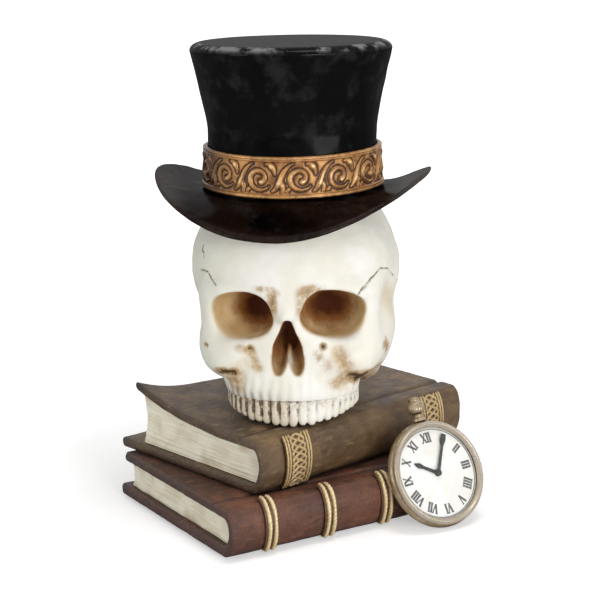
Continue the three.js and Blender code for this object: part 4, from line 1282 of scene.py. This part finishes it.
# Most methods add a node and give back what comes out of it.
class Nodes:
    def __init__(self, owner):
        owner.use_nodes = True
        self.tree = owner.node_tree

    # A socket takes a value or what comes out of another node.
    def fill(self, node, inputs):
        for socket, value in inputs.items():
            if isinstance(value, bpy.types.NodeSocket):
                self.tree.links.new(value, node.inputs[socket])
            else:
                node.inputs[socket].default_value = value

    def add(self, kind, inputs=None, **settings):
        node = self.tree.nodes.new(kind)
        for setting, value in settings.items():
            setattr(node, setting, value)
        self.fill(node, inputs or {})
        return node.outputs

    def math(self, operation, first, second):
        return self.add("ShaderNodeMath", {0: first, 1: second}, operation=operation)["Value"]

    def plus(self, first, second):
        return self.math("ADD", first, second)

    def times(self, first, *others):
        for other in others:
            first = self.math("MULTIPLY", first, other)
        return first

    # The stretch from low to high becomes the stretch from to_low to to_high.
    def spread(self, value, low, high, to_low=0.0, to_high=1.0, kind="LINEAR"):
        inputs = dict(enumerate((value, low, high, to_low, to_high)))
        return self.add("ShaderNodeMapRange", inputs, interpolation_type=kind)["Result"]

    def between(self, *limits):
        return self.spread(*limits, kind="SMOOTHSTEP")

    def seen_by(self, *kinds):
        rays = self.add("ShaderNodeLightPath")
        seen = rays[kinds[0]]
        for kind in kinds[1:]:
            seen = self.math("MAXIMUM", seen, rays[kind])
        return seen


class Look(Nodes):
    def __init__(self, name, slot, roughness=0.5, metallic=0.0, on_solid=False):
        material = bpy.data.materials.new(name)
        super().__init__(material)
        self.shader = self.tree.nodes["Principled BSDF"]
        self.fill(self.shader, {"Roughness": roughness, "Metallic": metallic})
        if on_solid:
            self.where = self.add("ShaderNodeTexCoord")["Object"]
        else:
            self.where = self.add("ShaderNodeAttribute", attribute_name="local")["Vector"]
        materials[name] = (material, slot)

    def noise(self, size, detail=4, roughness=0.55, stretch=(1, 1, 1), shift_by=0.0):
        scale = [1 / each for each in stretch]
        place = {"Vector": self.where, "Location": (shift_by,) * 3, "Scale": scale}
        moved = self.add("ShaderNodeMapping", place)["Vector"]
        lumps = {"Vector": moved, "Scale": 1 / (size * mm), "Detail": detail, "Roughness": roughness}
        return self.add("ShaderNodeTexNoise", lumps)["Fac"]

    def cells(self, size):
        return self.add("ShaderNodeTexVoronoi", {"Vector": self.where, "Scale": 1 / (size * mm)})["Distance"]

    def mark(self, name):
        return self.add("ShaderNodeAttribute", attribute_name=name)["Fac"]

    def axis(self, name):
        return self.add("ShaderNodeSeparateXYZ", {"Vector": self.where})[name]

    # Ambient occlusion: low where corners and recesses keep light out. A colour darkened by it is painted
    # shade.
    def corners(self, reach):
        return self.add("ShaderNodeAmbientOcclusion", {"Distance": reach * mm}, samples=6)["AO"]

    def bump(self, height, depth):
        return self.add("ShaderNodeBump", {"Distance": depth * mm, "Strength": 1, "Height": height})["Normal"]

    # A value near a half becomes a swing to both sides of zero.
    def swing(self, value, reach):
        return self.times(self.math("SUBTRACT", value, 0.5), reach)

    def mix(self, factor, first, second):
        first, second = (paint(shade) if isinstance(shade, tuple) else shade for shade in (first, second))
        return self.add("ShaderNodeMix", {"Factor": factor, 6: first, 7: second}, data_type="RGBA")[2]

    def ground(self, value, low, high, first, second):
        self.colour = self.mix(self.between(value, low, high), first, second)

    # A coat lies over the ground as far as the product of its factors says.
    def over(self, coat, *factors):
        self.colour = self.mix(self.times(*factors), self.colour, coat)

    def done(self, **sockets):
        self.fill(self.shader, {"Base Color": self.colour})
        self.fill(self.shader, {name.replace("_", " "): value for name, value in sockets.items()})


def bone_look():
    look = Look("bone", "bone_paint", roughness=0.46)
    broad = look.noise(16, 3)
    streaks = look.noise(3.2, 5, 0.6, stretch=(1, 1, 3.2))
    fine = look.noise(0.8, 4, 0.65)
    look.ground(broad, 0.35, 0.7, (240, 236, 222), (249, 247, 240))
    # The left side is painted greyer and darker: painted shade.
    look.over((220, 221, 205), look.between(look.axis("X"), -0.044, -0.006, 1, 0), 0.6)
    look.over((190, 165, 125), look.between(look.noise(1.4, 5, 0.75, shift_by=3), 0.63, 0.72), 0.35)
    # Brown in the streaks where corners keep light out: partly the brown wash, partly painted shade.
    corner = look.between(look.corners(9), 0.2, 0.8, 1, 0)
    look.over((176, 142, 92), corner, look.between(streaks, 0.3, 0.62), 0.5)
    look.over((205, 175, 112), look.mark("hollow"), look.between(streaks, 0.32, 0.6, 0.35, 1), 0.5)
    # The wash stains and the painted shade among them, as brown and then dark brown blots.
    ragged = look.between(look.noise(2.6, 5, 0.62), 0.34, 0.6, 0.5, 1)
    blot = look.times(look.mark("stain_and_shade"), ragged)
    look.over((176, 140, 84), look.between(blot, 0.06, 0.6, 0, 0.8))
    look.over((66, 42, 22), look.between(blot, 0.55, 1.1, 0, 0.94))
    # Brown in the root furrows on the left: partly wash, partly painted shade.
    look.over((110, 84, 52), look.mark("root"), look.between(streaks, 0.3, 0.6, 0.5, 1), 0.8)
    inside = look.mark("inside")
    cream = look.mix(look.between(broad, 0.35, 0.65), (222, 196, 150), (206, 174, 124))
    look.over(cream, inside)
    patches = look.swing(look.noise(5, 4, 0.6), 0.5)
    darkest = look.times(inside, look.plus(look.mark("dark"), patches))
    look.over((140, 91, 48), look.between(darkest, 0.04, 0.56))
    look.over((72, 32, 12), look.between(darkest, 0.48, 0.92))
    cracked = look.between(look.mark("crack"), 0.25, 0.8)
    look.over((98, 84, 62), cracked, look.between(look.noise(2.4, 3), 0.38, 0.56, 0.25, 0.9))
    height = look.plus(look.times(fine, 0.5), look.times(streaks, 0.8))
    roughness = look.math("MAXIMUM", look.between(fine, 0.3, 0.7, 0.4, 0.56), look.times(inside, 0.95))
    look.done(Specular_IOR_Level=0.25, Normal=look.bump(height, 0.16), Roughness=roughness)


def teeth_look():
    look = Look("teeth", "tooth_paint", roughness=0.36)
    fine_patches = look.noise(1.8, 4, 0.6)
    # The left side of the row is painted browner, as painted shade, and the gaps and gum line are darkened
    # more there.
    side = look.between(look.axis("X"), -0.008, 0.01, 1, 0.38)
    look.ground(look.noise(7, 3), 0.35, 0.65, (238, 232, 214), (248, 245, 236))
    look.over((222, 206, 172), look.between(side, 0.4, 1, 0, 0.6))
    uneven = look.between(look.noise(3.2, 3, shift_by=8), 0.36, 0.6, 0.6, 1.3)
    # Dark between the teeth and along the gum line: partly the brown wash, partly painted shade.
    gap = look.times(look.mark("gap"), look.between(fine_patches, 0.3, 0.65, 0.7, 1.25), uneven, side)
    look.over((84, 60, 36), look.between(gap, 0.22, 0.8), 0.95)
    look.over((104, 76, 44), look.mark("gum"), look.between(look.noise(2.6, 4, 0.65), 0.42, 0.62), side, 0.85)
    look.over((168, 142, 100), look.between(look.noise(3.4, 5, 0.7, shift_by=2), 0.56, 0.68), side, 0.7)
    look.done(Normal=look.bump(look.noise(0.7, 4), 0.06))


def hat_look():
    look = Look("hat", "hat_black_gloss", roughness=0.24)
    broad = look.noise(22, 3)
    strokes = look.noise(2.4, 4, 0.6, stretch=(1, 1, 2.2))
    look.ground(broad, 0.35, 0.65, (2, 2, 2), (8, 7, 7))
    # Grey cloudy patches: uneven paint, and painted sheen where the wall would show soft reflections.
    look.over((44, 42, 43), look.between(look.noise(11, 4, 0.6, shift_by=6), 0.48, 0.72), 0.6)
    look.over((22, 9, 5), look.mark("brim"), look.between(broad, 0.3, 0.6), 0.8)
    # Grey on the brim tips: dry-brushed dust, and painted sheen.
    look.over((84, 80, 78), look.mark("tips"), look.between(strokes, 0.3, 0.6, 0.6, 1), 0.8)
    # Pale grey patches on the rolled top edge: painted highlight, laid on as worn paint.
    painted_highlight_patches = look.between(look.noise(9, 3, shift_by=9), 0.48, 0.62)
    look.over((150, 150, 150), look.mark("roll"), painted_highlight_patches, 0.75)
    # Brown on the brim's edge: wear, and a painted highlight along it.
    look.over((56, 42, 36), look.mark("rim"), look.between(strokes, 0.35, 0.62, 0.3, 1), 0.4)
    lumps = look.plus(look.noise(9, 2), look.times(look.noise(1.1, 3), 0.03))
    look.done(Coat_Weight=0.14, Coat_Roughness=0.16, Specular_IOR_Level=0,
              Roughness=look.between(strokes, 0.3, 0.7, 0.3, 0.5), Normal=look.bump(lumps, 0.5))


def band_look():
    look = Look("band", "antique_gold_paint", roughness=0.38, metallic=0.35)
    fine_patches = look.noise(1.5, 4, 0.6)
    height = look.plus(look.mark("raised"), look.swing(fine_patches, 0.35))
    gold = look.mix(look.between(look.noise(6, 3), 0.35, 0.65), (134, 88, 46), (186, 134, 76))
    # Dark in the recesses and pale on the crests: antique wash and dry-brushing, and also painted shade and
    # highlight.
    look.ground(height, 0.02, 0.34, (48, 22, 9), gold)
    look.over((250, 216, 158), look.between(height, 0.6, 1.05))
    # The left side of the band is painted darker: painted shade.
    left = look.between(look.axis("X"), -0.038, -0.018, 0.9, 0)
    look.over((48, 22, 10), left, look.between(fine_patches, 0.3, 0.6, 0.7, 1))
    look.done(Roughness=look.between(fine_patches, 0.3, 0.7, 0.3, 0.5), Normal=look.bump(fine_patches, 0.08))


def leather_look(name, slot, dark, mid, light, spine_tint):
    look = Look(name, slot, roughness=0.55)
    strokes = look.noise(2.6, 5, 0.65, stretch=(3.0, 1, 1))
    wrinkles = look.noise(1.1, 4, 0.7)
    edge = look.mark("edge")
    look.ground(look.noise(14, 4, 0.6), 0.32, 0.68, dark, mid)
    look.over(light, look.between(strokes, 0.5, 0.7), 0.5)
    look.over(spine_tint, look.mark("spine"), 0.5)
    look.over(dark, look.between(look.noise(3.4, 5, 0.65, stretch=(2.4, 1, 1), shift_by=4), 0.5, 0.68), 0.55)
    look.over(dark, edge, 0.7)
    look.over(light, edge, look.between(wrinkles, 0.56, 0.7), 0.5)
    look.over(dark, look.mark("groove"), 0.7)
    look.over((30, 22, 18), look.mark("tip"), 0.85)
    # Dark where corners keep light out: painted shade.
    look.over((30, 17, 12), look.between(look.corners(5), 0.3, 0.9, 0.75, 0))
    height = look.plus(look.times(wrinkles, 0.7), look.times(look.cells(1.15), 0.6))
    look.done(Roughness=look.between(strokes, 0.3, 0.75, 0.46, 0.66), Normal=look.bump(height, 0.22))


def pages_look():
    look = Look("pages", "page_paint", roughness=0.72)
    leaves = look.noise(0.75, 4, 0.6, stretch=(26, 26, 1))
    look.ground(leaves, 0.32, 0.66, (232, 222, 194), (248, 244, 226))
    # Leaves that lie further in are painted darker: painted shade between the leaves.
    look.over((176, 154, 120), look.between(look.mark("leaf"), 0.15, 0.55, 1, 0), 0.3)
    look.over((176, 150, 106), look.between(look.noise(12, 3), 0.5, 0.72), 0.35)
    look.over((72, 54, 40), look.between(look.noise(1.3, 5, 0.75, shift_by=5), 0.66, 0.72), 0.7)
    # Dark where corners keep light out: painted shade.
    look.over((66, 46, 34), look.between(look.corners(2.6), 0.1, 0.6, 0.75, 0))
    look.done(Normal=look.bump(leaves, 0.12))


def gilt_look():
    look = Look("gilt", "gilt_paint", roughness=0.42, metallic=0.25)
    fine_patches = look.noise(1.1, 4, 0.65)
    height = look.plus(look.mark("raised"), look.swing(fine_patches, 0.8))
    # Dark in the recesses and pale on the crests: antique wash and dry-brushing, and also painted shade and
    # highlight.
    look.ground(height, 0.12, 0.55, (92, 66, 42), (190, 164, 116))
    look.over((232, 212, 170), look.between(height, 0.6, 1.0))
    look.done(Roughness=look.between(fine_patches, 0.3, 0.7, 0.34, 0.56), Normal=look.bump(fine_patches, 0.1))


def metal_paint_look(name, slot, base, pale, dark, metallic, shadow_reach):
    look = Look(name, slot, roughness=0.3, metallic=metallic)
    patina = look.noise(2.4, 4, 0.6)
    look.ground(look.noise(5, 3), 0.35, 0.65, base, pale)
    # Dark where corners keep light out: painted shade.
    look.over(dark, look.between(look.corners(shadow_reach), 0.3, 0.95, 0.85, 0))
    # Set up as painted shade on the watch's left side, but the piece's own X stays below this stretch, so it
    # tints the whole piece evenly.
    look.over((138, 116, 86), look.between(look.axis("X"), 0.034, 0.044, 0.7, 0))
    look.over(dark, look.between(patina, 0.5, 0.75, 0, 0.3))
    look.done(Roughness=look.between(patina, 0.3, 0.7, 0.24, 0.42))


def dial_look():
    look = Look("dial", "dial_white", roughness=0.32)
    look.ground(look.noise(11, 3), 0.4, 0.7, (247, 247, 244), (240, 238, 230))
    # Grey where the bezel and corners keep light out: painted shade.
    look.over((150, 146, 136), look.between(look.corners(1.6), 0.3, 0.8, 0.45, 0))
    look.done(Coat_Weight=0.3, Coat_Roughness=0.1, Normal=look.bump(look.noise(0.6, 4, 0.6), 0.03))


def dark_print_look(name, base, worn):
    look = Look(name, "hand_grey", roughness=0.45)
    patch = look.noise(1.5, 4, 0.65)
    look.ground(patch, 0.45, 0.7, base, worn)
    look.done(Normal=look.bump(patch, 0.03))


def steel_look():
    look = Look("steel", "steel", roughness=0.35, metallic=1.0, on_solid=True)
    drawn = look.noise(0.5, 4, 0.6, stretch=(1, 1, 20))
    look.colour = look.mix(drawn, (150, 150, 148), (196, 196, 194))
    look.done(Roughness=look.between(drawn, 0.3, 0.7, 0.25, 0.45), Normal=look.bump(drawn, 0.02))


def felt_look():
    look = Look("felt", "felt", roughness=0.95, on_solid=True)
    fibres = look.noise(0.35, 5, 0.75)
    look.colour = look.mix(fibres, (22, 21, 20), (58, 55, 52))
    look.over((40, 38, 36), look.noise(2.2, 4), 0.3)
    look.done(Sheen_Weight=0.3, Sheen_Roughness=0.6, Normal=look.bump(fibres, 0.25))


bone_look()
teeth_look()
hat_look()
band_look()
dark_browns = [(64, 46, 30), (126, 100, 68), (172, 150, 116), (98, 73, 44)]
red_browns = [(52, 28, 18), (114, 68, 46), (150, 108, 80), (86, 46, 28)]
leather_look("upper_leather", "dark_leather_paint", *dark_browns)
leather_look("lower_leather", "red_brown_leather_paint", *red_browns)
pages_look()
gilt_look()
metal_paint_look("champagne", "champagne_paint", (170, 150, 116), (232, 218, 190), (54, 38, 22), 0.5, 6)
metal_paint_look("bezel", "champagne_paint", (236, 231, 216), (247, 245, 238), (160, 146, 118), 0.3, 2.4)
dial_look()
dark_print_look("numeral", (92, 92, 92), (140, 140, 136))
dark_print_look("hand", (52, 56, 56), (84, 88, 86))
steel_look()
felt_look()

# Pieces
add_cover("lower_book_cover", lower, "lower_leather")
add_cover("upper_book_cover", upper, "upper_leather", corner=True)
draws = np.random.default_rng(5)
add_pages("lower_book_pages", lower, draws)
add_pages("upper_book_pages", upper, draws, corner=True)
cord_run = lower.length - 2 * cord_pair_from_end
for number in range(cord_pairs):
    centre = -cord_run / 2 + cord_run * number / (cord_pairs - 1)
    add_strap(f"lower_book_cord_{number + 1}", lower, centre, cord_strap, cord_relief)
for side, name in ((-1, "upper_book_ornament_left"), (1, "upper_book_ornament_right")):
    centre = side * (upper.length / 2 - ornament_from_end)
    add_strap(name, upper, centre, ornament_strap, ornament_relief)
add_skull()
add_teeth()
add_hat()
add_band()
add_watch()

# Hidden pins and the felt pad keep their solids and get their finishes.
for name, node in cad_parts.items():
    if "dowel" in name or name in ("watch_pin", "base_felt"):
        node.data.materials.clear()
        node.data.materials.append(materials["felt" if name == "base_felt" else "steel"][0])

# Camera at the photograph's place. Lengths in the scene around the object are metres.
camera_data = bpy.data.cameras.new("camera")
camera_data.lens = 102
camera_data.sensor_width = 36
camera = placed("camera", camera_data)
camera.location = (0.0601, -0.7123, 0.2612)
camera.rotation_euler = (math.radians(76.6), 0, math.radians(4.6))
bpy.context.scene.camera = camera


# Lights, which all look at the middle of the object
def add_light(name, at, width, height, watts):
    light = bpy.data.lights.new(name, "AREA")
    light.shape = "RECTANGLE"
    light.size = width
    light.size_y = height
    light.energy = watts
    lamp = placed(name, light)
    lamp.location = at
    lamp.rotation_euler = (Vector(at) - Vector((0, 0, 0.1))).to_track_quat("Z", "Y").to_euler()


add_light("key", (0.5, -0.85, 0.3), 0.3, 0.3, 3.3)
add_light("fill", (-0.75, -0.55, 0.3), 0.35, 0.35, 1.6)
add_light("top", (0.15, -0.1, 0.95), 0.3, 0.3, 2.2)
add_light("low", (0.84, -0.63, 0.1), 0.6, 0.18, 2)

# The world is white to the camera and in reflections, and soft grey where it lights the object.
white = (1, 1, 1, 1)
world = bpy.data.worlds.new("studio")
bpy.context.scene.world = world
studio = Nodes(world)
bright = studio.seen_by("Is Camera Ray", "Is Glossy Ray", "Is Transmission Ray")
strength = studio.spread(bright, 0, 1, 0.38, 1)
studio.fill(studio.tree.nodes["Background"], {"Color": white, "Strength": strength})

# Floor: pale, with the object's shadow, and lifted to white where the camera sees it lit and far away
floor_half = 3.0
floor_drop = 0.0002
floor_corners = [(-1, -1), (1, -1), (1, 1), (-1, 1)]
floor_mesh = bpy.data.meshes.new("floor")
floor_mesh.from_pydata([(x * floor_half, y * floor_half, 0) for x, y in floor_corners], [], [(0, 1, 2, 3)])
floor = placed("floor", floor_mesh)
floor.location.z = -floor_drop
floor_material = bpy.data.materials.new("floor")
floor_mesh.materials.append(floor_material)
floor_nodes = Nodes(floor_material)
floor_shader = floor_nodes.tree.nodes["Principled BSDF"]
floor_place = floor_nodes.add("ShaderNodeTexCoord")["Object"]
from_middle = floor_nodes.add("ShaderNodeVectorMath", {0: floor_place}, operation="LENGTH")["Value"]
seen = floor_nodes.seen_by("Is Camera Ray")
floor_nodes.fill(floor_shader, {
    "Base Color": (0.86, 0.86, 0.86, 1),
    "Roughness": 0.9,
    "Specular IOR Level": 0,
    "Emission Color": white,
    "Emission Strength": floor_nodes.times(floor_nodes.spread(from_middle, 0.13, 0.4, 0.45, 1), seen),
})

# Seen from below, the floor is clear, so that the underside shows.
below = floor_nodes.add("ShaderNodeNewGeometry")["Backfacing"]
clear = floor_nodes.add("ShaderNodeBsdfTransparent")["BSDF"]
sides = {0: below, 1: floor_shader.outputs["BSDF"], 2: clear}
either = floor_nodes.add("ShaderNodeMixShader", sides)["Shader"]
floor_nodes.fill(floor_nodes.tree.nodes["Material Output"], {"Surface": either})

bpy.context.scene.view_settings.view_transform = "Standard"
